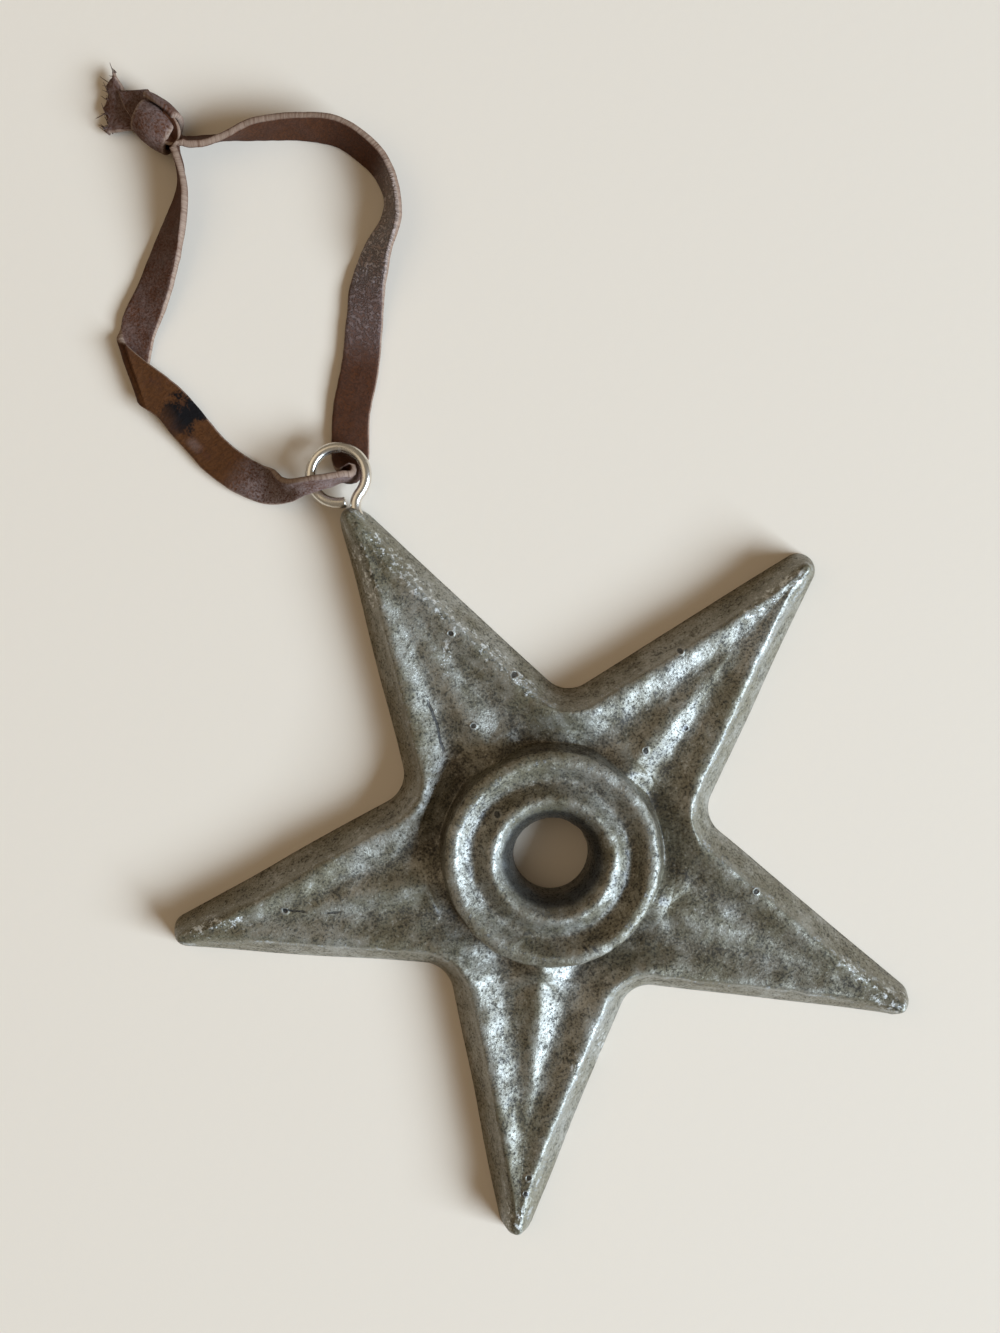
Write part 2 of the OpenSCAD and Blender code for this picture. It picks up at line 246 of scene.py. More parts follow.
def mesh_object(name, points, faces, finish, masks=None):
    """A smooth-shaded mesh object with a material and named values at its points."""
    mesh = bpy.data.meshes.new(name)
    mesh.from_pydata([tuple(p) for p in points], [], faces)
    build = bmesh.new()
    build.from_mesh(mesh)
    bmesh.ops.recalc_face_normals(build, faces=build.faces)
    build.to_mesh(mesh)
    build.free()
    mesh.shade_smooth()
    for mask, values in (masks or {}).items():
        layer = mesh.attributes.new(mask, "FLOAT", "POINT")
        layer.data.foreach_set("value", np.asarray(values, np.float32))
    mesh.materials.append(finish)
    return new_object(name, mesh)


def grid_faces(columns, rows, start=0, wrapped=False):
    """Quads of a grid whose points are numbered row by row within each column."""
    faces = []
    for i in range(columns - 1):
        for j in range(rows if wrapped else rows - 1):
            k = (j + 1) % rows
            a = start + i * rows
            faces.append((a + j, a + rows + j, a + rows + k, a + k))
    return faces


def tube_faces(rings, sides, start=0):
    """Faces of a tube of rings of points that is closed at both ends."""
    ends = (start, start + (rings - 1) * sides)
    caps = [tuple(range(end, end + sides)) for end in ends]
    return grid_faces(rings, sides, start, wrapped=True) + caps


# The noise lies where the clock puts it unless it has a seed. Each use of it lies some steps further on
NOISE_SEED = 3
NOISE_STEPS = (17.3, 5.1, 9.7)


def wander(points, size, depth, seed):
    """Smooth noise vectors at the points, of that wavelength and depth."""
    shift = Vector([step * seed for step in NOISE_STEPS])
    noise.seed_set(NOISE_SEED)
    return depth * np.array([noise.noise_vector(Vector(p) / size + shift) for p in points])


# Materials

# Waves in a millimetre of the noise that shakes drawn marks
SHAKE_SCALE = 0.9
# Shares of a spot's radius at which it starts and ends to fade, and the length of a line's faded ends
SPOT_FADE = (0.7, 1.2)
LINE_FADE = 1


class Value:
    """An output socket in an expression. Arithmetic on values adds Math nodes."""

    def __init__(self, finish, socket):
        self.finish = finish
        self.socket = socket

    def math(self, operation, first, second):
        return self.finish.node("Math", {"operation": operation}, {0: first, 1: second})

    def __add__(self, other):
        return self.math("ADD", self, other)

    def __sub__(self, other):
        return self.math("SUBTRACT", self, other)

    def __rsub__(self, other):
        return self.math("SUBTRACT", other, self)

    def __mul__(self, other):
        return self.math("MULTIPLY", self, other)

    __radd__ = __add__
    __rmul__ = __mul__


class Finish:
    """A material and the nodes that make it. Sizes of its patterns are in millimetres."""

    def __init__(self, name, **constants):
        self.material = bpy.data.materials.new(name)
        self.material.use_nodes = True
        self.tree = self.material.node_tree
        self.shader = self.tree.nodes["Principled BSDF"]
        for socket, value in constants.items():
            self.shader.inputs[socket.replace("_", " ")].default_value = value
        where = self.node("TexCoord", output="Object")
        self.place = self.vector("SCALE", where, Scale=1 / MM)

    def node(self, kind, settings=None, sockets=None, output=0):
        """One node's output: settings are set first, then its sockets get values or links."""
        made = self.tree.nodes.new("ShaderNode" + kind)
        for name, value in (settings or {}).items():
            setattr(made, name, value)
        for name, value in (sockets or {}).items():
            if isinstance(value, Value):
                self.tree.links.new(value.socket, made.inputs[name])
            else:
                made.inputs[name].default_value = value
        return Value(self, made.outputs[output])

    def vector(self, operation, first, second=None, output="Vector", **sockets):
        """Vector arithmetic."""
        sockets[0] = first
        if second is not None:
            sockets[1] = second
        return self.node("VectorMath", {"operation": operation}, sockets, output)

    def feed(self, **sockets):
        for socket, value in sockets.items():
            self.tree.links.new(value.socket, self.shader.inputs[socket.replace("_", " ")])

    def mask(self, name):
        return self.node("Attribute", {"attribute_name": name}, output="Fac")

    def noise(self, size, detail=3, place=None, rough=0.55):
        place = place or self.place
        sockets = {"Vector": place, "Scale": 1 / size, "Detail": detail, "Roughness": rough}
        return self.node("TexNoise", None, sockets)

    def step(self, value, low, high):
        """0 below low, 1 above high and smooth between them."""
        sockets = {"Value": value, "From Min": low, "From Max": high}
        return self.node("MapRange", {"interpolation_type": "SMOOTHSTEP"}, sockets)

    def window(self, value, middle, half_width, soft):
        """1 within half_width of middle, fading to 0 over soft."""
        away = self.node("Math", {"operation": "ABSOLUTE"}, {0: value - middle})
        return 1 - self.step(away, half_width, half_width + soft)

    def blend(self, factor, first, second):
        """Colours mixed by a factor."""
        first, second = (c if isinstance(c, Value) else (*c, 1) for c in (first, second))
        return self.node("Mix", {"data_type": "RGBA"}, {0: factor, 6: first, 7: second}, 2)

    def stretched(self, along, across, scale_along, scale_across):
        """A place made from two masks, for patterns that follow a strip."""
        return self.node("CombineXYZ", None, {"X": along * scale_along, "Y": across * scale_across})

    def plan(self, unsteady):
        """Place seen from above, shaken a little so that drawn marks look natural."""
        sockets = {"Vector": self.place, "Scale": SHAKE_SCALE, "Detail": 3}
        shake = self.node("TexNoise", None, sockets, "Color")
        shake = self.vector("SUBTRACT", shake, (0.5, 0.5, 0.5))
        shaken = self.vector("ADD", self.place, self.vector("SCALE", shake, Scale=unsteady))
        return self.vector("MULTIPLY", shaken, (1, 1, 0))

    def spot(self, plan, x, y, radius):
        """1 within a radius of a point seen from above."""
        away = self.vector("DISTANCE", plan, (x, y, 0), "Value")
        start, end = SPOT_FADE
        return 1 - self.step(away, start * radius, end * radius)

    def scratch(self, plan, start, end, half_width):
        """1 on a line between two points seen from above."""
        span = math.dist(start, end)
        way = [(b - a) / span for a, b in zip(start, end)]
        off = self.vector("SUBTRACT", plan, (*start, 0))
        along = self.vector("DOT_PRODUCT", off, (*way, 0), "Value")
        aside = self.vector("DOT_PRODUCT", off, (-way[1], way[0], 0), "Value")
        beside = self.window(aside, 0, half_width, half_width)
        return self.window(along, span / 2, (span - LINE_FADE) / 2, LINE_FADE) * beside

    def relief(self, height, depth, strength=1.0, under=None):
        """A bump of that depth over another one."""
        sockets = {"Height": height, "Distance": depth * MM, "Strength": strength}
        if under is not None:
            sockets["Normal"] = under
        return self.node("Bump", None, sockets)


# Marks on the casting, in millimetres seen from above: pits with their radius, and cracks and bands of
# pale flecks with both ends and half their width
PITS = [
    (7.6, 22, 0.38), (-0.1, 19.1, 0.3), (26.9, 14, 0.34), (16.9, 5.4, 0.34), (22.7, 5.2, 0.26),
    (19.8, -16.8, 0.3), (-23.3, -33.7, 0.34), (-24.7, -35.3, 0.26), (-3, 8.3, 0.36), (3.4, 30.5, 0.3),
    (-32.6, 11.1, 0.3),
]
CRACKS = [
    ((-3.4, 24.8), (-3.9, 21.9), 0.1), ((-3.9, 21.9), (-5, 18.2), 0.1),
    ((-32.6, 11.4), (-30.4, 9.6), 0.08), ((-28.4, 8.2), (-26.6, 7.4), 0.08),
    ((-2.1, -10.9), (-1.9, -11.9), 0.1), ((-1.2, -11.6), (-0.9, -12.6), 0.1),
]
FLECKS = [
    ((1, 46.5), (3.3, 35.4), 0.7), ((3.3, 35.4), (8.6, 19), 0.5), ((-1.3, 46), (-2.8, 38), 0.6),
    ((-5.6, -20.4), (-8.4, -27.4), 0.5), ((-10.2, -23.2), (-11.4, -25.6), 0.5),
    ((27, -35.5), (24.5, -30), 0.5), ((36, 13.6), (45, 14.6), 0.5), ((-44, 15.2), (-37, 12.4), 0.5),
    ((28.6, -39.4), (26, -35.4), 0.9), ((-28.8, -39.2), (-27, -36), 0.7), ((2.4, 30), (0.6, 26.4), 0.4),
]


# Sizes in millimetres of the casting's patterns
CLOUD_SIZE = 9
MOTTLE_SIZE = 1.7
GRAIN_SIZE = 0.34
SAND_SIZE = 0.19
CHIP_SIZE = 0.8
# How far bands of flecks and other marks are shaken, and the size of a pit with its rim
FLECK_SHAKE = 1.8
MARK_SHAKE = 0.5
PIT_RIM = 1.8


def casting_finish(look):
    """Satin metallic paint with a brown wash in the hollows, painted shade at the hub's foot and in the
    bore, rubbed crests, painted glints, grain, pits and cracks.
    """
    f = Finish("aged_casting", Specular_IOR_Level=0.4, Coat_Roughness=0.42, Coat_IOR=1.8)
    crest = f.mask("crest")
    hollow = f.mask("hollow")
    tip = f.mask("tip")
    cloud = f.noise(CLOUD_SIZE, 4)
    mottle = f.noise(MOTTLE_SIZE, 4)
    grain = f.noise(GRAIN_SIZE, 3, rough=0.75)
    sand = f.noise(SAND_SIZE, 2, rough=0.7)
    ragged = f.plan(FLECK_SHAKE)
    steady = f.plan(MARK_SHAKE)
    dull = f.step(0.7 * cloud + 0.45 * mottle + 0.2 * tip, 0.4, 0.7)
    base = f.blend(dull, look.pewter, look.olive)
    # Brown wash in the hollows; the ring at the hub's foot in it is painted shade
    washed = f.step(0.7 * hollow + 0.55 * mottle + 0.3 * cloud + 0.2 * tip, 0.6, 1.35)
    base = f.blend(washed * 0.85, base, look.patina)
    speck = f.step(grain + 0.35 * mottle + 0.06 * hollow, 0.68, 0.82)
    pepper = f.step(sand + 0.15 * mottle, 0.66, 0.78)
    base = f.blend(speck * 0.7, base, look.pit)
    base = f.blend(pepper * 0.55, base, look.pit)
    rubbed = f.step(0.55 * crest + 0.8 * grain + 0.5 * sand + 0.7 * mottle, 1.5, 1.75)
    # Painted glints: pale specks on the grain, mixed in the worn colour with the rubbed crests
    glint = 1 - f.step(grain + 0.25 * mottle, 0.42, 0.54)
    base = f.blend(rubbed * 0.5 + glint * 0.3, base, look.worn)
    chips = f.step(f.noise(CHIP_SIZE, 4, rough=0.75), 0.53, 0.6)
    scraped = sum(f.scratch(ragged, *mark) for mark in FLECKS) * chips
    base = f.blend(scraped * 0.8, base, look.worn)
    holes = sum(f.spot(steady, *mark) for mark in PITS)
    rims = sum(f.spot(steady, x, y, PIT_RIM * r) for x, y, r in PITS) - holes
    base = f.blend(rims * 0.2, base, look.worn)
    cracks = sum(f.scratch(steady, *mark) for mark in CRACKS)
    # The bore is darkened with painted shade, beside the dark pits and cracks
    base = f.blend(holes * 0.85 + cracks * 0.8 + f.mask("bore") * 0.8, base, look.pit)
    f.feed(Base_Color=base, Metallic=0.54 - 0.3 * washed - 0.2 * speck)
    f.feed(Coat_Weight=(1 - 0.7 * washed) * (1 - f.step(grain, 0.5, 0.62)) * 0.5)
    f.feed(Roughness=0.4 + 0.1 * dull + 0.12 * washed + 0.2 * speck - 0.1 * rubbed - 0.1 * scraped)
    shape = f.relief(mottle, 0.2, 0.7)
    shape = f.relief(grain, 0.1, 0.8, shape)
    shape = f.relief(sand, 0.04, 0.7, shape)
    f.feed(Normal=f.relief(rims - holes - cracks, 0.12, 0.8, shape))
    return f.material


# Sizes in millimetres of the drawn lines and the dull spots on the wire
LINE_SIZE = 0.05
SPOT_SIZE = 0.9


def wire_finish(look):
    """Bright plating on drawn wire, with fine lines along it and dull spots."""
    f = Finish("plated_wire", Metallic=1.0)
    along = f.mask("along")
    around = f.mask("around")
    lines = f.noise(LINE_SIZE, 2, f.stretched(along, around, 0.02 / MM, 1.4))
    spots = f.step(f.noise(SPOT_SIZE, 4), 0.55, 0.75)
    base = f.blend(spots * 0.5, look.nickel, look.tarnish)
    f.feed(Base_Color=base, Roughness=0.16 + 0.14 * lines + 0.22 * spots)
    f.feed(Normal=f.relief(lines, 0.01, 0.35))
    return f.material


# Stretches of the lace in millimetres along it: the middle, half the width, and the fade at each side
GREYER_NEAR_FOLD = (23, 7, 6)
RUSTY = (43, 8, 6)
GREYED = (62, 6, 5)
CRINKLED = (103, 3.5, 6)
CRINKLED_LESS = (96, 4, 8)
KNOTTED = (230, 40, 5)
STAINED = (48.2, 1.3, 1.4)
SCUFFED = (47.2, 0.2, 1.1)
# The same across the lace for the scuff, in halves of its width
SCUFF_ACROSS = (0.45, 0.05, 0.35)
# Sizes in millimetres of the leather's patterns
HIDE_SIZE = 2.2
PORE_SIZE = 0.3
CREASE_SIZE = 1


def leather_finish(look):
    """Lace leather: crinkled, with pale cut edges, grey and rusty stretches, a stain and a scuff, painted
    sheen and highlights on the crinkled stretch, and painted shade in the creases.
    """
    f = Finish("lace_leather", Specular_IOR_Level=0.12, Coat_Roughness=0.36)
    along = f.mask("along") * (1 / MM)
    across = f.mask("across")
    edge = f.mask("edge")
    under = f.step(f.mask("under"), 0.4, 0.6)
    skin = f.stretched(along, across, 1, 2.4)
    mottle = f.noise(HIDE_SIZE, 5, skin)
    fine = f.noise(PORE_SIZE, 4, skin, 0.65)
    crease = f.noise(CREASE_SIZE, 3, f.stretched(along + 0.5 * across, across, 1.7, 2.2), 0.6)
    crinkle = f.window(crease, 0.5, 0, 0.08)
    base = f.blend(f.step(mottle, 0.38, 0.64), look.grain, look.dusk)
    base = f.blend(under * f.step(fine, 0.35, 0.65) * 0.6, base, look.flesh)
    rusty = under * f.window(along, *RUSTY)
    base = f.blend(rusty * f.step(mottle, 0.25, 0.5), base, look.rust)
    # Greyer stretches near the fold, near the ring and on the knot
    bloom_and_sheen = f.window(along, *GREYER_NEAR_FOLD) * (1 - under) * 0.35 + f.window(along, *GREYED) * under * 0.75
    bloom_and_sheen = (bloom_and_sheen + f.window(along, *KNOTTED) * 0.5) * f.step(fine + 0.5 * mottle, 0.55, 0.95)
    creased = (f.window(along, *CRINKLED) * 0.75 + f.window(along, *CRINKLED_LESS) * 0.25) * under
    # Painted sheen over the crinkled stretch, then painted highlights on its ridges
    bloom_and_sheen = bloom_and_sheen + 0.85 * creased
    base = f.blend(bloom_and_sheen, base, look.bloom_and_sheen)
    ridges = creased * f.step(0.5 * crease + 0.5 * fine, 0.4, 0.7)
    base = f.blend(0.65 * ridges, base, look.sheen)
    # Dark lines in the creases of the crinkles are painted shade; the dark pores are the leather's own
    lines = crinkle * (0.25 + 0.3 * creased) + f.step(fine, 0.54, 0.72) * 0.35
    base = f.blend(lines, base, look.stain)
    pale = edge * (0.25 + 0.5 * f.step(fine + 0.4 * mottle, 0.45, 0.85))
    base = f.blend(pale, base, look.cut_edge)
    ragged = along + 0.6 * across + 7 * mottle + 4 * fine
    blot = f.window(ragged, *STAINED) * under * (1 - 0.6 * f.step(across + mottle, 0.4, 1.5))
    base = f.blend(blot, base, look.stain)
    scuff = f.window(along + 2 * mottle, *SCUFFED) * f.window(across, *SCUFF_ACROSS) * under
    base = f.blend(scuff * 0.16, base, look.bloom_and_sheen)
    f.feed(Base_Color=base, Roughness=0.6 + 0.25 * fine - 0.16 * bloom_and_sheen)
    f.feed(Coat_Weight=creased * (1 - edge) * 0.6)
    shape = f.relief(mottle, 0.12, 0.4)
    shape = f.relief(crease * 0.25 + (crease - 0.4 * crinkle) * creased, 0.5, 0.9, shape)
    f.feed(Normal=f.relief(fine, 0.08, 0.7, shape))
    return f.material


# Size in millimetres of the floor's tooth, and the grey that it takes on
TOOTH_SIZE = 1.4
TOOTH_GREY = (0.5, 0.5, 0.5)


def floor_finish(look):
    """Plain pale floor with a faint tooth."""
    f = Finish("pale_floor", Roughness=0.9)
    tooth = f.noise(TOOTH_SIZE, 3)
    base = f.blend(0.06 * tooth, look.floor_colour, TOOTH_GREY)
    f.feed(Base_Color=base, Normal=f.relief(tooth, 0.05, 0.2))
    return f.material


# The cast star

# Share of the rim's inset and of its height up to which the outer wall is straight
WALL_RUN = 0.75
WALL_RISE = 0.88
# How slowly the valley floor starts to rise, and how far the inner slopes are rounded
VALLEY_BEND = 1.5
SLOPE_ROUND = 0.5
# Share of the way to the arm's axis that the rim takes where the arm is narrow
NARROW_SHARE = 0.85
# Share of the rim's inset that is left at the points, and where it starts to narrow
POINT_INSET = 0.55
POINT_START = 36 * MM
# Distance of the spine's outer end from the middle of the tip's arc, as a share of its radius
SPINE_GAP = 0.2
# Spread of the hub's wall at its foot and the height where that foot starts, and rounding of its shoulder
# and of the corner at its foot
HUB_FOOT = 1.2 * MM
FOOT_LEVEL = 1 * MM
HUB_SHOULDER = 0.6
HUB_FILLET = 0.5 * MM
# Radius at which the arms' grids of points end at the hub
HUB_GRID = 16 * MM
# Columns of points along a tip's arc, a straight edge and a notch's arc, and their widths at the inner end
COLUMN_STEPS = (10, 64, 20)
COLUMN_WIDTHS = (0.4, 0.66, 0.5)
RIM_ROWS = np.array([0, 0.1, 0.2, 0.3, 0.4, 0.5, 0.6, 0.69, 0.77, 0.84, 0.9, 0.95, 1])
INNER_ROWS = np.linspace(0, 1, 31)[1:]
UNDER_ROWS = 14
FOOT_ROWS = 20
# Rows of points over the hub: on its shoulder, each slope of the groove, the lip, the flare, the throat
# and the back
SHOULDER_ROWS = 9
GROOVE_ROWS = 14
LIP_ROWS = 10
FLARE_ROWS = 12
THROAT_ROWS = 7
BACK_ROWS = 10
# Bevel of the bore at the back
BORE_BEVEL = 0.3 * MM
# Points that are closer than this are one, and points below this height are on the back
WELD = 2e-6
ON_BACK = 0.02 * MM
# Masks: place of a crest in the rim's inset, widths of crests, of the groove and of the hub's foot
CREST_PLACE = 0.9
CREST_WIDTH = 0.7 * MM
GROOVE_WIDTH = 1.1 * MM
FOOT_WIDTH = 1.3 * MM
# Strength of the hub's masks and of the painted shade at its foot, and how far the hollow fades towards the
# points
HUB_SHARE = 0.8
FOOT_SHARE = 0.6
HOLLOW_FADE = 0.6
# The collar's worn edge outside the mouth, the depth of shade in the bore, and the start and length of the
# points' mask as shares of their radius
COLLAR_EDGE = 0.3 * MM
BORE_FADE = 0.4 * MM
TIP_START = 0.72
TIP_RUN = 0.25
# Rounds of smoothing that wear the casting's edges down, and its strength in a round
WEAR_ROUNDS = 80
WEAR_SHARE = 0.5
# Distances from the outline and from the hub over which wear sets in, and where and how far it is less at
# the points
WEAR_IN = 0.8 * MM
WEAR_OFF_HUB = 2 * MM
TIP_WEAR_START = 42 * MM
TIP_WEAR_RUN = 6 * MM
TIP_SPARED = 0.7
# The blunt end of the point with the screw eye: how far all of it and its top are brought forward, where
# that sets in as shares of the point's radius, and the height of the top
BLUNT_BACK = 0.5 * MM
BLUNT_TOP = 1.3 * MM
BLUNT_START = 0.84
BLUNT_RUN = 0.14
BLUNT_HEIGHT = 4 * MM
# Wavelengths of the casting's sway in plan and in height and of its ripples, and the height over the back
# at which they are free
PLAN_SWAY = 11 * MM
RISE_SWAY = 7 * MM
RIPPLES = 2.3 * MM
FINE_RIPPLES = 0.9 * MM
FREE_HEIGHT = 1.5 * MM


class Arm:
    """Plan and top of one arm: s runs out along it and y across it, from 0 on its axis."""

    def __init__(self, sizes):
        self.sizes = sizes
        self.half_pitch = math.pi / POINTS
        self.tip = np.array([sizes.point_radius - sizes.tip_round, 0.0])
        notch_way = np.array([math.cos(self.half_pitch), math.sin(self.half_pitch)])
        self.notch = (sizes.notch_radius + sizes.notch_round) * notch_way
        way = self.notch - self.tip
        lean = math.asin((sizes.tip_round + sizes.notch_round) / np.linalg.norm(way))
        self.edge_angle = math.atan2(way[1], -way[0]) - lean
        self.edge_way = np.array([-math.cos(self.edge_angle), math.sin(self.edge_angle)])
        self.edge_in = np.array([-math.sin(self.edge_angle), -math.cos(self.edge_angle)])
        self.tip_tangent = self.tip - sizes.tip_round * self.edge_in
        self.notch_tangent = self.notch + sizes.notch_round * self.edge_in

    def inset(self, p):
        """Distance of points from the outline."""
        straight = (p - self.tip_tangent) @ self.edge_in
        at_tip = self.sizes.tip_round - np.linalg.norm(p - self.tip, axis=-1)
        at_notch = np.linalg.norm(p - self.notch, axis=-1) - self.sizes.notch_round
        past_edge = np.where((p - self.notch) @ self.edge_way > 0, at_notch, straight)
        return np.where((p - self.tip) @ self.edge_way < 0, at_tip, past_edge)

    def top(self, p):
        """Height of the arm's top at points, and how near they are to the crest and the valley."""
        z, s, y = self.sizes, p[..., 0], np.abs(p[..., 1])
        d = np.maximum(self.inset(p), 0)
        out = limit((s - z.notch_radius) / (z.point_radius - z.notch_radius))
        rim = mix(z.rim_height, z.tip_height, out)
        fade = limit((z.rib_end - s) / (z.rib_end - z.hub_radius))
        rise = limit((s - z.hub_radius) / (z.valley_end - z.hub_radius)) ** VALLEY_BEND
        valley = mix(z.valley_height, rim, rise)
        rib = valley + (z.rib_height - z.valley_height) * fade
        rib_width = np.maximum(z.rib_half_width * fade, 1e-9)
        valley_inset = (np.stack([s, rib_width], -1) - self.tip_tangent) @ self.edge_in
        near_tip = smooth(limit((s - POINT_START) / (z.point_radius - z.tip_round - POINT_START)))
        inset = z.rim_inset * mix(1, POINT_INSET, near_tip)
        down = limit((d - inset) / np.maximum(valley_inset - inset, 1e-6))
        off_rib = limit(y / rib_width)
        slope = mix(down, smooth(down), SLOPE_ROUND)
        inner = np.where(y < rib_width, mix(valley, rib, smooth(1 - off_rib)), mix(rim, valley, slope))
        q = d / inset
        shoulder = 1 - (1 - WALL_RISE) * (limit((1 - q) / (1 - WALL_RUN))) ** 2
        wall = np.where(q < WALL_RUN, q * WALL_RISE / WALL_RUN, shoulder)
        height = np.where(q < 1, rim * wall, inner)
        crest = near(d - CREST_PLACE * inset, CREST_WIDTH)
        faded = np.where(q < 1, 0, 1 - HOLLOW_FADE * rise)
        hollow = np.where(y < rib_width, off_rib, down) ** 2 * faded
        return height, crest, hollow

    def columns(self):
        """Outline point, crest and inner end of each column, and the first that ends at the hub."""
        tips, edges, notches = COLUMN_STEPS
        outline, inward, reach = [], [], []
        for q in np.linspace(0, 1, tips + 1)[:-1]:
            a = q * (math.pi / 2 - self.edge_angle)
            inward.append([-math.cos(a), -math.sin(a)])
            outline.append(self.tip - self.sizes.tip_round * np.array(inward[-1]))
            reach.append(self.sizes.tip_round)
        for q in np.linspace(0, 1, edges + 1)[:-1]:
            outline.append(mix(self.tip_tangent, self.notch_tangent, q))
            inward.append(self.edge_in)
            reach.append(outline[-1][1] / math.cos(self.edge_angle))
        for q in np.linspace(0, 1, notches + 1):
            a = mix(1.5 * math.pi - self.edge_angle, math.pi + self.half_pitch, q)
            inward.append([math.cos(a), math.sin(a)])
            outline.append(self.notch + self.sizes.notch_round * np.array(inward[-1]))
            reach.append(self.sizes.notch_radius)
        outline, inward = np.array(outline), np.array(inward)
        inset = np.minimum(self.sizes.rim_inset, NARROW_SHARE * np.array(reach))
        crest = outline + inward * inset[:, None]
        spine = self.tip[0] - SPINE_GAP * self.sizes.tip_round - HUB_GRID
        steps = np.repeat(COLUMN_WIDTHS, COLUMN_STEPS)
        along = np.concatenate([[0], np.cumsum(steps)])
        along *= (spine + HUB_GRID * self.half_pitch) / along[-1]
        first = int(np.abs(along - spine).argmin())
        along[first] = spine
        turn = np.maximum(along - spine, 0) / HUB_GRID
        ends = HUB_GRID * np.stack([np.cos(turn), np.sin(turn)], -1)
        ends[:, 0] += np.maximum(spine - along, 0)
        return outline, crest, ends, first


def hub_profile(z):
    """Radius and height of the rows of points over the hub, through the bore and out on the back."""
    def wave(r0, z0, r1, z1):
        q = np.linspace(0, 1, GROOVE_ROWS + 1)[:-1]
        return np.stack([mix(r0, r1, q), mix(z0, z1, smooth(q))], -1)

    bead = z.hub_radius - z.bead_in
    groove = z.hub_radius - z.groove_in
    turn = np.linspace(0, math.pi / 2, SHOULDER_ROWS)[1:-1]
    drop = z.bead_in * HUB_SHOULDER * (1 - np.sin(turn))
    rows = [np.stack([bead + z.bead_in * np.cos(turn), z.hub_height - drop], -1)]
    rows.append(wave(bead, z.hub_height, groove, z.groove_height))
    rows.append(wave(groove, z.groove_height, z.collar_radius, z.hub_height))
    q = np.linspace(0, 1, LIP_ROWS)[:-1]
    lip = mix(z.hub_height, z.mouth_height, q * q)
    rows.append(np.stack([mix(z.collar_radius, z.mouth_radius, q), lip], -1))
    q = np.linspace(1, 0, FLARE_ROWS)
    flare = mix(z.bore_radius, z.mouth_radius, q * q)
    rows.append(np.stack([flare, mix(z.throat, z.mouth_height, q)], -1))
    down = np.linspace(z.throat, BORE_BEVEL, THROAT_ROWS)[1:]
    rows.append(np.stack([np.full(len(down), z.bore_radius), down], -1))
    out = np.linspace(z.bore_radius + BORE_BEVEL, HUB_GRID, BACK_ROWS)
    rows.append(np.stack([out, np.zeros(len(out))], -1))
    return np.concatenate(rows)


def half_arm(arm):
    """Points and faces of the right half of an arm with its share of hub, bore and back."""
    z = arm.sizes
    outline, crest, ends, first = arm.columns()

    def top(p):
        wall = FOOT_LEVEL + (z.hub_radius + HUB_FOOT - np.linalg.norm(p, axis=-1)) * hub_steep
        return np.dstack([p, smooth_max(arm.top(p)[0], wall, HUB_FILLET)])

    hub_steep = (z.hub_height - z.bead_in * HUB_SHOULDER - FOOT_LEVEL) / HUB_FOOT
    rim = outline[:, None] + (crest - outline)[:, None] * RIM_ROWS[:, None]
    inner = crest[:, None] + (ends - crest)[:, None] * INNER_ROWS[:, None]
    patch = top(np.concatenate([rim, inner], 1))
    back = ends[:, None] + (outline - ends)[:, None] * np.linspace(0, 1, UNDER_ROWS)[:, None]
    under = np.dstack([back, np.zeros((len(ends), UNDER_ROWS))])
    ways = unit(ends[first:])[:, None]
    foot = top(ways * np.linspace(HUB_GRID, z.hub_radius, FOOT_ROWS)[:, None])
    foot[:, -1, 2] = z.hub_height - z.bead_in * HUB_SHOULDER
    profile = hub_profile(z)
    hub = np.dstack([ways * profile[:, :1], np.tile(profile[:, 1], (len(ways), 1))])
    points, faces = [], []
    for grid in (patch, np.concatenate([foot, hub], 1), under):
        faces += grid_faces(grid.shape[0], grid.shape[1], len(points))
        points += grid.reshape(-1, 3).tolist()
    return np.array(points), faces


def arm_place(points):
    """Place of points in the frame of the arm that they lie on."""
    x, y = points[:, 0], points[:, 1]
    pitch = 2 * math.pi / POINTS
    turn = np.arctan2(x, y) / pitch
    off = (turn - np.round(turn)) * pitch
    r = np.hypot(x, y)
    return np.stack([r * np.cos(off), np.abs(r * np.sin(off))], -1)


def casting_masks(arm, points):
    """How near points are to a crest, a hollow, the bore and an arm's end, for the finish."""
    z = arm.sizes
    r = np.hypot(points[:, 0], points[:, 1])
    _, crest, hollow = arm.top(arm_place(points))
    on_hub = r < z.hub_radius
    bead, groove = z.hub_radius - z.bead_in, z.hub_radius - z.groove_in
    ridges = near(r - bead, CREST_WIDTH) + near(r - (z.mouth_radius + COLLAR_EDGE), CREST_WIDTH)
    dip = near(r - groove, GROOVE_WIDTH)
    # A darker ring at the hub's foot is painted shade in the corner where the hub rises
    foot = FOOT_SHARE * near(r - z.hub_radius - HUB_FOOT, FOOT_WIDTH)
    front = points[:, 2] > ON_BACK
    return {
        "crest": front * limit(np.where(on_hub, HUB_SHARE * ridges, crest)),
        "hollow": front * limit(np.where(on_hub, HUB_SHARE * dip, np.maximum(hollow, foot))),
        # How deep in the bore the painted shade lies
        "bore": limit((z.mouth_radius - r) / BORE_FADE),
        "tip": limit((r - TIP_START * z.point_radius) / (TIP_RUN * z.point_radius)),
    }


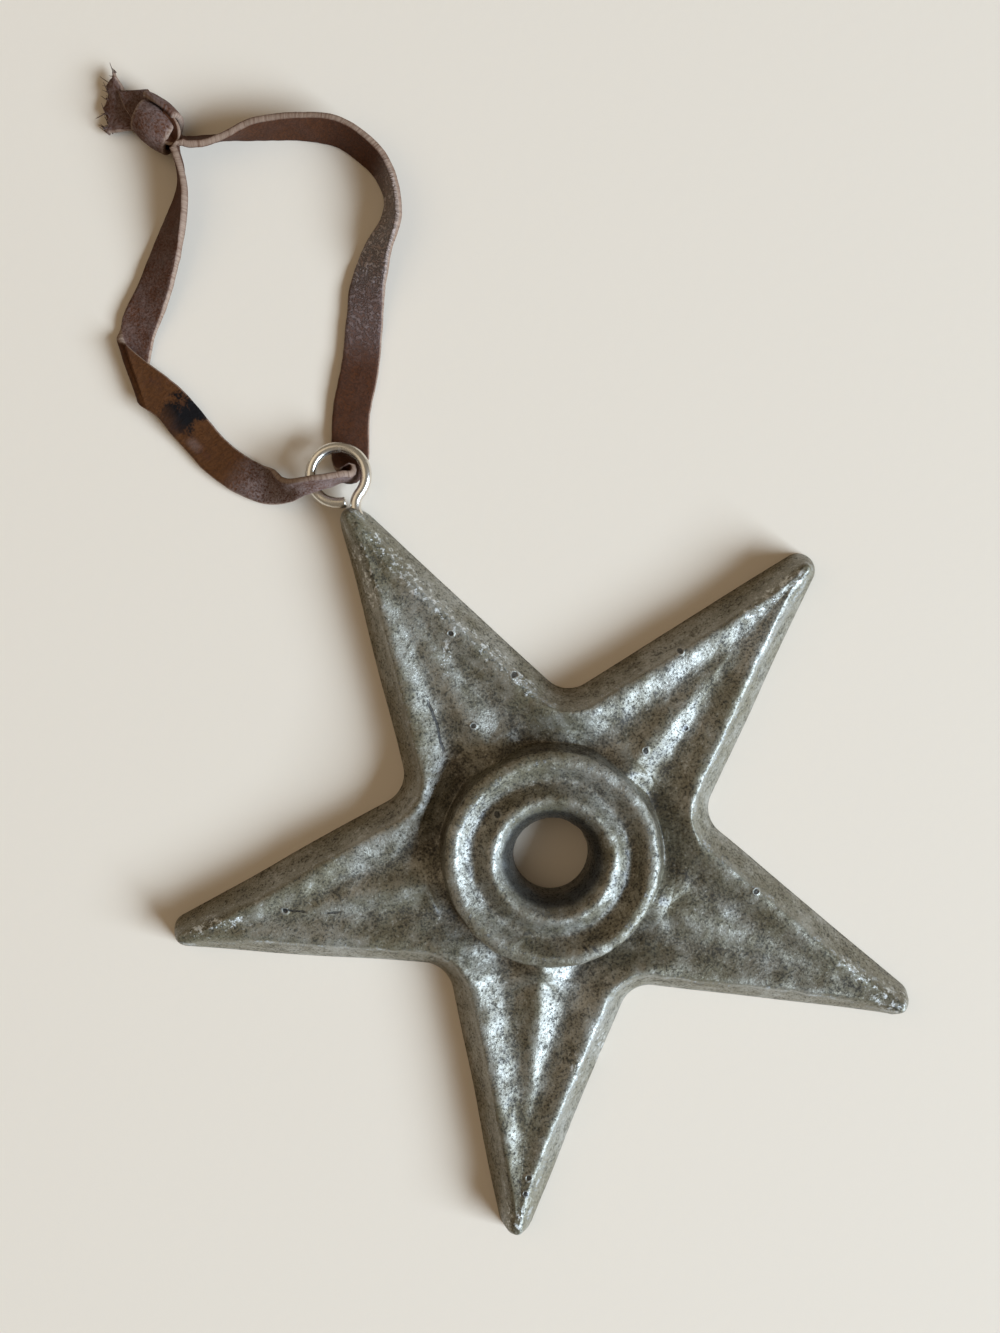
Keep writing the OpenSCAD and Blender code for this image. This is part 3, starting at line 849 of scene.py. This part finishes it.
def worn_heights(arm, points, corners):
    """Heights of the points after wear, which leaves the hub, the back and the outline as they are."""
    sides = np.array([(f[i - 1], f[i]) for f in corners for i in range(len(f))])
    count = np.bincount(sides[:, 0], minlength=len(points))
    r = np.hypot(points[:, 0], points[:, 1])
    inset = arm.inset(arm_place(points))
    off_hub = limit((r - arm.sizes.hub_radius - HUB_FOOT) / WEAR_OFF_HUB)
    share = WEAR_SHARE * limit(inset / WEAR_IN) * off_hub
    spared = 1 - TIP_SPARED * limit((r - TIP_WEAR_START) / TIP_WEAR_RUN)
    share = np.where(points[:, 2] > ON_BACK, share, 0) * spared
    z = points[:, 2].copy()
    for _ in range(WEAR_ROUNDS):
        beside = np.bincount(sides[:, 0], z[sides[:, 1]], len(points)) / count
        z += share * (beside - z)
    return z


def make_casting(sizes):
    """The star as one closed mesh, worn and a little uneven as an old casting is."""
    arm = Arm(sizes)
    half, faces = half_arm(arm)
    build = bmesh.new()
    for k in range(POINTS):
        for side in (-1, 1):
            a = math.pi / 2 + 2 * math.pi / POINTS * k
            s, y = half[:, 0], side * half[:, 1]
            x, y = s * math.cos(a) - y * math.sin(a), s * math.sin(a) + y * math.cos(a)
            made = [build.verts.new(p) for p in np.stack([x, y, half[:, 2]], -1)]
            for face in faces if side > 0 else [f[::-1] for f in faces]:
                build.faces.new([made[i] for i in face])
    bmesh.ops.remove_doubles(build, verts=build.verts, dist=WELD)
    points = np.array([v.co for v in build.verts])
    corners = [[v.index for v in f.verts] for f in build.faces]
    build.free()
    masks = casting_masks(arm, points)
    points[:, 2] = worn_heights(arm, points, corners)
    past = (points[:, 1] - BLUNT_START * sizes.point_radius) / (BLUNT_RUN * sizes.point_radius)
    forward = BLUNT_BACK + BLUNT_TOP * limit(points[:, 2] / BLUNT_HEIGHT)
    points[:, 1] += smooth(limit(past)) * forward
    free = smooth(limit(points[:, 2] / FREE_HEIGHT))[:, None]
    shift = wander(points, PLAN_SWAY, sizes.sway, 1) * [1, 1, 0]
    shift += wander(points, RISE_SWAY, sizes.sway, 2) * [0, 0, 1] * free
    shift += wander(points, RIPPLES, sizes.ripple, 3) * free
    shift += wander(points, FINE_RIPPLES, 0.5 * sizes.ripple, 4) * free
    return mesh_object("cast_star", points + shift, corners, casting_finish(sizes), masks)


# The screw eye

WIRE_SIDES = 24
SHANK_STEPS = 170
NECK_STEPS = 24
RING_STEPS = 150
# Plain length between thread and neck, length of the screw's point, and the length cut off at its end
PLAIN_SHANK = 1.5 * MM
SCREW_POINT = 3 * MM
POINT_CUT = 0.1 * MM
# The bevel of the wire's free end: its length, and the share of the radius that is left
END_BEVEL = 0.12 * MM
END_SHARE = 0.9


def turned_in(casting, eye, u, v):
    """Points beside and along the shank, from its inner end, as they lie in the star's frame."""
    x = u * math.cos(eye.lean) + v * math.sin(eye.lean)
    y = casting.point_radius - eye.shank_length - u * math.sin(eye.lean) + v * math.cos(eye.lean)
    return np.stack([x, y], -1)


def ring_reach(eye):
    """Radius of the ring at the wire's axis, and distances of neck and ring along the shank."""
    ring_r = (eye.inside + eye.wire) / 2
    neck = eye.shank_length - eye.neck_sink
    return ring_r, neck, neck + math.sqrt(ring_r * ring_r + 2 * ring_r * eye.neck_radius)


def ring_middle(casting, eye):
    return turned_in(casting, eye, np.array(0.0), np.array(ring_reach(eye)[2]))


def make_eye(casting, eye):
    """Threaded shank, neck and ring as one bent wire with a cut end."""
    ring_r, neck_v, ring_v = ring_reach(eye)
    neck_turn = math.atan2(ring_v - neck_v, eye.neck_radius)
    shank_v = np.linspace(0, neck_v, SHANK_STEPS)[:-1]
    shank = np.stack([np.zeros(len(shank_v)), shank_v], -1)
    a = np.linspace(math.pi, math.pi - neck_turn, NECK_STEPS)[:-1]
    neck = np.stack([eye.neck_radius * (1 + np.cos(a)), neck_v + eye.neck_radius * np.sin(a)], -1)
    a = np.linspace(-neck_turn, 2 * math.pi - eye.gap_angle - neck_turn, RING_STEPS)
    ring = np.stack([ring_r * np.cos(a), ring_v + ring_r * np.sin(a)], -1)
    straight = np.concatenate([shank, neck, ring])
    line = turned_in(casting, eye, straight[:, 0], straight[:, 1])
    along = distances(line)
    way = unit(np.gradient(line, axis=0))
    side = np.stack([way[:, 1], -way[:, 0]], -1)
    around = np.linspace(0, 2 * math.pi, WIRE_SIDES + 1)[:-1]
    on_shank = along < neck_v - PLAIN_SHANK
    turn = (along[:, None] / eye.thread_pitch - around / (2 * math.pi)) % 1
    thread = eye.shank / 2 - eye.thread_depth * smooth(np.abs(2 * turn - 1))
    point = limit((along[:, None] + POINT_CUT) / SCREW_POINT)
    radius = np.where(on_shank[:, None], thread * point, eye.wire / 2)
    radius[along[-1] - along < END_BEVEL] *= END_SHARE
    x = line[:, :1] + side[:, :1] * radius * np.cos(around)
    y = line[:, 1:] + side[:, 1:] * radius * np.cos(around)
    z = eye.height + radius * np.sin(around)
    points = np.stack([x, y, z], -1).reshape(-1, 3)
    faces = tube_faces(len(line), WIRE_SIDES)
    masks = {"along": np.repeat(along, WIRE_SIDES), "around": np.tile(around, len(line))}
    return mesh_object("screw_eye_wire", points, faces, wire_finish(eye), masks)


# The lace

# Routes of the lace, row by row in millimetres: x and y from the middle of the ring, the height of the
# lower edge over the table, the degrees by which the left edge is raised, how far the lace is folded
# lengthwise, how far its sections lean forward on the left, and its width as a share of the full width.
# Where a row ends early, ROW_REST has the rest. LAY is the height of lace that lies on the table.
# The upper route runs from inside the knot to the folded corner, and the lower one from there through the
# ring and back to the knot, with the lace's other side up.
ROW_REST = (0, 0, 1)
LAY = 0.1
UPPER_ROUTE = [
    (2.9, 49.6, 1.5, 88, 0.85), (3.3, 47.7, 1.2, 87, 0.7), (3.3, 46.6, 0.5, 87, 0.3),
    (3.2, 45.6, LAY, 86, 0.04), (2.7, 43.6, LAY, 82), (1.6, 41.3, LAY, 70), (-0.4, 39, LAY, 54),
    (-3.3, 36.4, LAY, 37), (-8.1, 32.4, LAY, 18, 0, 0.15), (-11.9, 29.75, LAY, 5, 0, 0.75),
]
LOWER_ROUTE = [
    (-13.7, 18, 0.8, 180, 0, 0.35), (-13.1, 14.2, 0.3, 180), (-12.2, 10, LAY, 180),
    (-10.1, 5.6, LAY, 181), (-8.3, 3.5, 0.5, 190, 0.1, 0, 0.96), (-6.6, 1.95, 2, 208, 0.2, 0, 0.76),
    (-4.9, 1.05, 3.6, 222, 0.2, 0, 0.56), (-3, 0.4, 3.8, 232, 0.15, 0, 0.5),
    (-1.4, -0.05, 3.3, 246, 0.1, 0, 0.48), (0.2, -0.5, 2.4, 258, 0, 0, 0.5),
    (1.3, -0.8, 1.5, 264, 0, 0, 0.54), (1.85, -0.5, 0.8, 246, 0, 0, 0.62),
    (1.85, 0.1, 0.4, 214, 0, 0, 0.8), (2, 0.9, 0.2, 190, 0, 0, 0.95), (2.6, 2, LAY, 182),
    (3.4, 3.3, LAY, 180), (4.8, 5.5, LAY, 180), (9.7, 11.2, LAY, 180), (12.6, 15.1, LAY, 175),
    (15.6, 19, LAY, 158), (19, 22, LAY, 137), (22.2, 24.4, LAY, 121), (23.8, 26.8, LAY, 110),
    (24.4, 29.8, LAY, 112), (23.6, 33.7, LAY, 115), (22, 36.8, LAY, 113), (18.2, 39.9, LAY, 106),
    (13.3, 42.4, LAY, 94), (9.2, 43.8, LAY, 70), (6.6, 44.8, LAY, 62), (4.8, 46, LAY, 70, 0.04),
    (4.3, 46.8, 0.5, 82, 0.3), (4, 47.8, 1.2, 90, 0.7), (3.4, 49.6, 1.5, 92, 0.85),
]
# The folded corner: middle and direction of the crease, the way out of the loop, and its slant to the lace
CORNER = (-16.45, 25.5)
CREASE_TURN = math.radians(257.5)
CREASE_WAY = np.array([math.cos(CREASE_TURN), math.sin(CREASE_TURN), 0])
CREASE_OUT = np.array([CREASE_WAY[1], -CREASE_WAY[0], 0])
SLANT = math.radians(33)
FOLD_STEPS = 24
# The cut ends
FLAP_ROUTE = [
    (2.5, 50.4, 1.7, 8, 0.3, 0, 0.68), (2.3, 52, 1.5, 8, 0.1, 0.1, 0.72),
    (2.3, 53.4, 1.3, 8, 0, 0.2, 0.75), (2.5, 54.7, 1.1, 6, 0, 0.3, 0.76),
]
FRAYED_ROUTE = [
    (1.7, 51, 1.6, -10, 0.3, -0.4, 0.5), (0.9, 52, 1.2, -12, 0, -0.55, 0.6),
    (0.1, 53.2, 0.9, -14, 0, -0.6, 0.78), (-0.4, 54.6, 0.5, -14, 0, -0.6, 1.15),
    (-0.8, 55.7, 0.3, -10, 0, -0.6, 1.4),
]
# The knot: its middle, the turn of the wrap's axis to the left of +Y, the angles round it at which the wrap
# starts and ends, and where and over what angle it spreads into a lip
KNOT_MIDDLE = (2.76, 49.3)
WRAP_TURN = math.radians(22)
WRAP_START = math.radians(-75)
WRAP_END = math.radians(402)
LIP_START = math.radians(330)
LIP_TURN = math.radians(70)
WRAP_STEPS = 150
# Turns after which the wrap has the knot's radius, and its growth in a turn in thicknesses of the lace
WRAP_TRUE = 0.95
WRAP_GROWTH = 1.25
# The wrap's height to its breadth, its thickness and its widths at the start and the lip to those of the
# lace, and how far it is hollowed
WRAP_FLAT = 0.92
WRAP_THIN = 0.9
WRAP_WIDTHS = (1.1, 1.02)
WRAP_HOLLOW = 0.15
# How far the wrap swings along its axis, and how far its lip is shifted along it
WRAP_SWING = 0.3 * MM
LIP_SHIFT = 0.35 * MM
# Paleness of the wrap's borders, and where they start in halves of its width
BORDER_PALE = 0.7
BORDER_START = 0.9
# Distances along the lace at which the knot and the tails start, for the finish
KNOT_REACH = 200 * MM
TAIL_REACH = 240 * MM
# Where the lace crosses the ring, the length at each end that is inside the knot, and how many sections
# there are to a point of the loop's path
CROSSING = (-3, 0.45)
IN_KNOT = 3 * MM
PATH_STEP = 10
# Steps along the lace, and the points of its section: place across it, side of the middle, share of raw
# edge
LACE_STEP = 0.28 * MM
FACE_POINTS = np.linspace(-0.93, 0.93, 14)
EDGE_POINTS = [(0.965, 0.86, 0.6), (0.992, 0.5, 0.9), (1, 0, 1), (0.992, -0.5, 0.9), (0.965, -0.86, 0.6)]
SECTION = np.array(
    [(q, 1, 0) for q in FACE_POINTS]
    + EDGE_POINTS
    + [(q, -1, 0) for q in FACE_POINTS[::-1]]
    + [(-q, -side, raw) for q, side, raw in EDGE_POINTS]
)
# Width of the bend of a lengthwise fold, as a share of half the lace, how far folded leather is squeezed,
# and steps on each half of a section's curve
CREASE = 0.4
SQUEEZE = 0.3
CURVE_STEPS = 40
# Wavelength and depth of the lace's unevenness, and its least height over the table
LACE_WAVES = (3.5 * MM, 0.1 * MM)
LACE_CRINKLES = (1.1 * MM, 0.05 * MM)
TABLE_GAP = 0.03 * MM
# The torn end: the seed of its random draws, its depth and the draws' limit. Its fibres: how many there are,
# their lengths from and to and the depth of their roots in millimetres, their spread and bend, the radius in
# millimetres at places along them, the angles of their three sides, and their least height
FRAY_SEED = 5
TORN_DEPTH = 0.45 * MM
TORN_LIMIT = 1.5
FIBRES = 56
FIBRE_LENGTHS = (0.6, 1.6)
ROOT_DEPTH = 0.5
FIBRE_SPREAD = (0.35, 0.35, 0.25)
FIBRE_BEND = 0.35
FIBRE_RADII = ((0, 0.09), (0.5, 0.075), (1, 0.03))
FIBRE_SIDES = (0, 2.1, 4.2)
FIBRE_FLOOR = 0.12 * MM


def smooth_route(route, step):
    """Rows of a route joined by a smooth curve, at equal steps along it."""
    rows = np.array(route, float)
    at = distances(rows[:, :2])
    slopes = np.gradient(rows, at, axis=0)
    fine = np.linspace(0, at[-1], max(int(at[-1] / step), 2) + 1)
    i = np.clip(np.searchsorted(at, fine, "right") - 1, 0, len(at) - 2)
    h = (at[i + 1] - at[i])[:, None]
    q = ((fine - at[i]) / h[:, 0])[:, None]
    start = rows[i] * (1 + 2 * q) * (1 - q) ** 2 + slopes[i] * h * q * (1 - q) ** 2
    end = rows[i + 1] * q * q * (3 - 2 * q) + slopes[i + 1] * h * q * q * (q - 1)
    return start + end


def section_curve(fold, crease):
    """Places across a strip that is folded lengthwise: sideways and upwards, and the surface's lean."""
    q = np.linspace(-1, 1, 2 * CURVE_STEPS + 1)
    lean = -fold * (math.pi / 2) * np.sin(math.pi / 2 * np.clip(q / crease, -1, 1))
    dq = q[1] - q[0]

    def summed(slope):
        total = np.concatenate([[0], np.cumsum((slope[1:] + slope[:-1]) / 2 * dq)])
        return total - total[CURVE_STEPS]

    side, rise = summed(np.cos(lean)), summed(np.sin(lean))
    at = SECTION[:, 0]
    return np.interp(at, q, side), np.interp(at, q, rise), np.interp(at, q, lean)


def section_ring(width, thick, fold, crease=CREASE):
    """One section of the lace: sideways and upwards places of its points."""
    side, rise, lean = section_curve(fold, crease)
    offset = SECTION[:, 1] * thick * (1 - SQUEEZE * fold) / 2
    return side * width / 2 - np.sin(lean) * offset, rise * width / 2 + np.cos(lean) * offset


class Strip:
    """Sections of lace one after another, with their middles and the distance along the lace."""

    def __init__(self):
        self.rings, self.middle, self.along = [], [], []
        self.reach = 0.0

    def add(self, ring, middle, lead):
        """Adds a section whose points lie that far ahead of its middle along the lace."""
        if self.middle:
            self.reach += np.linalg.norm(middle - self.middle[-1])
        self.rings.append(ring)
        self.middle.append(middle)
        self.along.append(self.reach + lead)

    def masks(self):
        count = len(self.rings)
        return {
            "along": np.concatenate(self.along),
            "across": np.tile(SECTION[:, 0], count),
            "edge": np.tile(SECTION[:, 2], count),
            "under": np.tile((1 - SECTION[:, 1]) / 2, count),
        }

    def faces(self, start=0):
        return tube_faces(len(self.rings), len(SECTION), start)

    def points(self, seed):
        """All the points, a little uneven and above the table."""
        points = np.concatenate(self.rings)
        uneven = wander(points, *LACE_WAVES, seed) + wander(points, *LACE_CRINKLES, seed + 1)
        points = points + uneven
        points[:, 2] = np.maximum(points[:, 2], TABLE_GAP)
        return points


def lay_strip(strip, route, lace, origin):
    """Adds sections along a route whose rows are in millimetres from a point."""
    scale = np.array([MM, MM, MM, 1, 1, 1, 1])
    start = np.array([*origin, 0, 0, 0, 0, 0])
    rows = [np.array([*row, *ROW_REST[len(row) - 4 :]]) * scale + start for row in route]
    rows = smooth_route(rows, LACE_STEP)
    way = np.gradient(rows[:, :2], axis=0)
    heading = unit(np.concatenate([way, np.gradient(rows[:, 2:3], axis=0)], 1))
    left = unit(np.stack([-way[:, 1], way[:, 0], np.zeros(len(way))], -1))
    up = np.cross(heading, left)
    lean = np.radians(rows[:, 3:4])
    across = left * np.cos(lean) + up * np.sin(lean)
    top = up * np.cos(lean) - left * np.sin(lean)
    for i, row in enumerate(rows):
        side, rise = section_ring(lace.width * row[6], lace.thickness, limit(row[4]))
        ring = np.outer(side, across[i] + row[5] * heading[i]) + np.outer(rise, top[i])
        base = np.array([row[0], row[1], row[2] - ring[:, 2].min()])
        strip.add(ring + base, ring.mean(0) + base, row[5] * side)


def corner_row(a, lace):
    """Middle of the lace in its corner after a turn of a, in millimetres from the middle of the ring."""
    radius = (lace.thickness + lace.clearance) / 2 / MM
    inward = CREASE_OUT[:2] * (radius * (1 - math.sin(a)) + lace.thickness / 2 / MM)
    onward = CREASE_WAY[:2] * radius * (a - math.pi / 2) / math.tan(SLANT)
    return *(CORNER - inward + onward), LAY + radius * (1 - math.cos(a))


def fold_corner(strip, lace, origin):
    """Adds the sections round the folded corner, which all lie along the crease."""
    side, rise = section_ring(lace.width, lace.thickness, 0)
    for a in np.linspace(0, math.pi, FOLD_STEPS + 1)[1:-1]:
        x, y, lift = corner_row(a, lace)
        top = np.array([0, 0, math.cos(a)]) - CREASE_OUT * math.sin(a)
        middle = np.array([origin[0] + x * MM, origin[1] + y * MM, lift * MM + lace.thickness / 2])
        ring = middle + np.outer(side, CREASE_WAY / math.sin(SLANT)) + np.outer(rise, top)
        strip.add(ring, middle, side / math.tan(SLANT))


def make_lace(lace, origin):
    """The loop of the lace as one strip, and its middle line from the ring round the loop and back."""
    strip = Strip()
    ends = [(*corner_row(a, lace), math.degrees(a), 0, 1 / math.tan(SLANT)) for a in (0, math.pi)]
    lay_strip(strip, UPPER_ROUTE + ends[:1], lace, origin)
    fold_corner(strip, lace, origin)
    lay_strip(strip, ends[1:] + LOWER_ROUTE, lace, origin)
    finish = leather_finish(lace)
    made = mesh_object("lace_strip", strip.points(11), strip.faces(), finish, strip.masks())
    middle = np.array(strip.middle)
    at_ring = np.array(CROSSING) * MM + origin
    row = int(np.linalg.norm(middle[:, :2] - at_ring, axis=1).argmin())
    knotted = int(IN_KNOT / LACE_STEP)
    loop = np.concatenate([middle[row : knotted : -1], middle[-knotted : row : -1]])
    return made, loop[::PATH_STEP]


def join_strips(strips, seed):
    """Points, faces and masks of several strips as one mesh."""
    points, faces, masks = [], [], {}
    for i, strip in enumerate(strips):
        faces += strip.faces(len(points))
        points += strip.points(seed + 2 * i).tolist()
        for name, values in strip.masks().items():
            masks[name] = np.concatenate([masks.get(name, []), values])
    return points, faces, masks


def make_knot(lace, origin, finish):
    """The knot: a wide turn of lace that winds round the strands and ends in a lip beside itself."""
    axis = np.array([-math.sin(WRAP_TURN), math.cos(WRAP_TURN), 0])
    side = np.array([math.cos(WRAP_TURN), math.sin(WRAP_TURN), 0])
    up = np.array([0, 0, 1.0])
    middle = np.array([*(np.array(KNOT_MIDDLE) * MM + origin), lace.knot_radius])
    strip = Strip()
    strip.reach = KNOT_REACH
    for a in np.linspace(WRAP_START, WRAP_END, WRAP_STEPS):
        q = (a - WRAP_START) / (2 * math.pi)
        reach = lace.knot_radius + (q - WRAP_TRUE) * WRAP_GROWTH * lace.thickness
        flare = smooth(limit((a - LIP_START) / LIP_TURN))
        out = side * math.cos(a) + up * math.sin(a) * WRAP_FLAT
        width = lace.width * mix(*WRAP_WIDTHS, flare)
        across, rise = section_ring(width, lace.thickness * WRAP_THIN, WRAP_HOLLOW, 1.0)
        centre = middle + out * reach + axis * (WRAP_SWING * math.cos(a) + LIP_SHIFT * flare)
        strip.add(centre + np.outer(across, axis) + np.outer(rise, out), centre, 0 * across)
    points, faces, masks = join_strips([strip], 21)
    border = BORDER_PALE * (np.abs(masks["across"]) > BORDER_START)
    masks["edge"] = np.maximum(masks["edge"], border)
    return mesh_object("lace_knot_wrap", points, faces, finish, masks)


def make_fibre(rng, root, way, reach):
    """Three-sided tapering fibre: points and faces."""
    side = unit(np.cross(way, rng.normal(size=3)))
    other = np.cross(way, side)
    bend = FIBRE_BEND * reach * rng.normal(size=3)
    points = []
    for q, r in FIBRE_RADII:
        centre = root + way * reach * q + bend * q * q
        centre[2] = max(centre[2], FIBRE_FLOOR)
        for a in FIBRE_SIDES:
            points.append(centre + (side * math.cos(a) + other * math.sin(a)) * r * MM)
    return points, tube_faces(len(FIBRE_RADII), len(FIBRE_SIDES))


def make_tails(lace, origin, finish):
    """The two cut ends beyond the knot: a smooth flap, and a flattened end with loose fibres."""
    flap, frayed = Strip(), Strip()
    flap.reach = frayed.reach = TAIL_REACH
    lay_strip(flap, FLAP_ROUTE, lace, origin)
    lay_strip(frayed, FRAYED_ROUTE, lace, origin)
    rng = np.random.default_rng(FRAY_SEED)
    way = unit(frayed.middle[-1] - frayed.middle[-4])
    torn = TORN_DEPTH * rng.normal(size=len(SECTION)).clip(-TORN_LIMIT, TORN_LIMIT)
    frayed.rings[-1] = frayed.rings[-1] + torn[:, None] * way
    frayed.rings[-2] = frayed.rings[-2] + 0.5 * torn[:, None] * way
    points, faces, masks = join_strips([flap, frayed], 31)
    last = frayed.rings[-1]
    for _ in range(FIBRES):
        root = last[rng.integers(len(last))] * 0.6 + last[rng.integers(len(last))] * 0.4
        root = root - way * ROOT_DEPTH * MM
        aim = unit(way + rng.normal(size=3) * FIBRE_SPREAD)
        made, sides = make_fibre(rng, root, aim, rng.uniform(*FIBRE_LENGTHS) * MM)
        faces += [tuple(len(points) + i for i in f) for f in sides]
        points += [p.tolist() for p in made]
        for name, value in {"along": frayed.reach, "across": 0, "edge": 0, "under": 1}.items():
            masks[name] = np.concatenate([masks[name], np.full(len(made), value)])
    return mesh_object("lace_cut_tails", points, faces, finish, masks)


# Stage

# Lamps: place and size in metres and power in watts, and the point at which they aim
WINDOW_LAMP = ((1.22, -1.82, 1.19), (1.58, 1.02), 170)
FILL_LAMP = ((-0.3, 0.4, 0.6), (0.7, 0.7), 1)
LAMP_AIM = (0, 20 * MM, 0)
# Strength of the light from all round
ROOM_LIGHT = 0.26


def make_camera(stage):
    camera = bpy.data.cameras.new("camera")
    camera.lens = stage.lens
    camera.sensor_width = SENSOR
    camera.clip_start = 1 * MM
    back = -Vector(stage.camera_look).normalized()
    right = Vector(stage.camera_up).cross(back).normalized()
    up = back.cross(right)
    holder = new_object("camera", camera)
    turn = Matrix((right, up, back)).transposed().to_4x4()
    holder.matrix_world = Matrix.Translation(stage.camera_at) @ turn
    bpy.context.scene.camera = holder


def make_lamp(name, at, size, energy, colour):
    lamp = bpy.data.lights.new(name, "AREA")
    lamp.shape = "RECTANGLE"
    lamp.size, lamp.size_y = size
    lamp.energy = energy
    lamp.color = colour
    holder = new_object(name, lamp)
    holder.location = at
    holder.rotation_euler = (Vector(LAMP_AIM) - Vector(at)).to_track_quat("-Z", "Y").to_euler()


def make_floor(stage):
    half = stage.floor_size / 2
    corners = [(-half, -half, 0), (half, -half, 0), (half, half, 0), (-half, half, 0)]
    mesh_object("floor", corners, [(0, 1, 2, 3)], floor_finish(stage))


def light_room(stage):
    world = bpy.data.worlds.new("soft_room")
    world.use_nodes = True
    light = world.node_tree.nodes["Background"].inputs
    light["Color"].default_value = (*stage.fill_colour, 1)
    light["Strength"].default_value = ROOM_LIGHT
    bpy.context.scene.world = world
    make_lamp("window", *WINDOW_LAMP, stage.window_colour)
    make_lamp("fill", *FILL_LAMP, stage.fill_colour)


# Operators


class StageOperator(bpy.types.Operator):
    """Set up the camera, the floor and the light"""

    bl_idname = "ornament.stage"
    bl_label = "Stage"

    def execute(self, context):
        stage = context.scene.ornament.stage
        context.scene.view_settings.view_transform = "Standard"
        make_camera(stage)
        make_floor(stage)
        light_room(stage)
        return {"FINISHED"}


class LaceOperator(bpy.types.Operator):
    """Lay the leather lace through the eye, and tie it"""

    bl_idname = "ornament.lace"
    bl_label = "Leather lace"

    def execute(self, context):
        settings = context.scene.ornament
        lace = settings.lace
        origin = ring_middle(settings.casting, settings.eye)
        strip, loop = make_lace(lace, origin)
        finish = strip.data.materials[0]
        knot = make_knot(lace, origin, finish)
        tails = make_tails(lace, origin, finish)
        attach(knot, "lace_loop")
        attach(tails, "lace_loop")
        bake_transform(strip)
        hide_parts("lace_left_strand", "lace_bight", "lace_right_strand")
        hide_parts("lace_knot")
        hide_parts("lace_tails")
        return {"FINISHED"}


class CastingOperator(bpy.types.Operator):
    """Cast the star with its hub"""

    bl_idname = "ornament.casting"
    bl_label = "Cast star"

    def execute(self, context):
        star = make_casting(context.scene.ornament.casting)
        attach(star, "star")
        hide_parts("star_casting")
        return {"FINISHED"}


class EyeOperator(bpy.types.Operator):
    """Bend the screw eye and set it into the point"""

    bl_idname = "ornament.eye"
    bl_label = "Screw eye"

    def execute(self, context):
        settings = context.scene.ornament
        wire = make_eye(settings.casting, settings.eye)
        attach(wire, "star")
        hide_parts("screw_eye")
        return {"FINISHED"}


class OrnamentPanel(bpy.types.Panel):
    """Lists the ornament's operators and settings."""

    bl_idname = "VIEW3D_PT_ornament"
    bl_label = "Star ornament"
    bl_space_type = "VIEW_3D"
    bl_region_type = "UI"
    bl_category = "Ornament"

    def draw(self, context):
        for operator in OPERATORS:
            self.layout.operator(operator.bl_idname)
        settings = context.scene.ornament
        for group in (settings.casting, settings.eye, settings.lace, settings.stage):
            box = self.layout.box()
            for name in group.bl_rna.properties.keys():
                if name not in ("rna_type", "name"):
                    box.prop(group, name)


OPERATORS = (StageOperator, LaceOperator, CastingOperator, EyeOperator)
GROUPS = (CastingSettings, EyeSettings, LaceSettings, StageSettings, OrnamentSettings)
CLASSES = GROUPS + OPERATORS + (OrnamentPanel,)


def register():
    for kind in CLASSES:
        bpy.utils.register_class(kind)
    bpy.types.Scene.ornament = PointerProperty(type=OrnamentSettings)


def unregister():
    del bpy.types.Scene.ornament
    for kind in reversed(CLASSES):
        bpy.utils.unregister_class(kind)


def main():
    register()
    bpy.ops.ornament.stage()
    bpy.ops.ornament.lace()
    bpy.ops.ornament.casting()
    bpy.ops.ornament.eye()


if __name__ == "__main__":
    main()
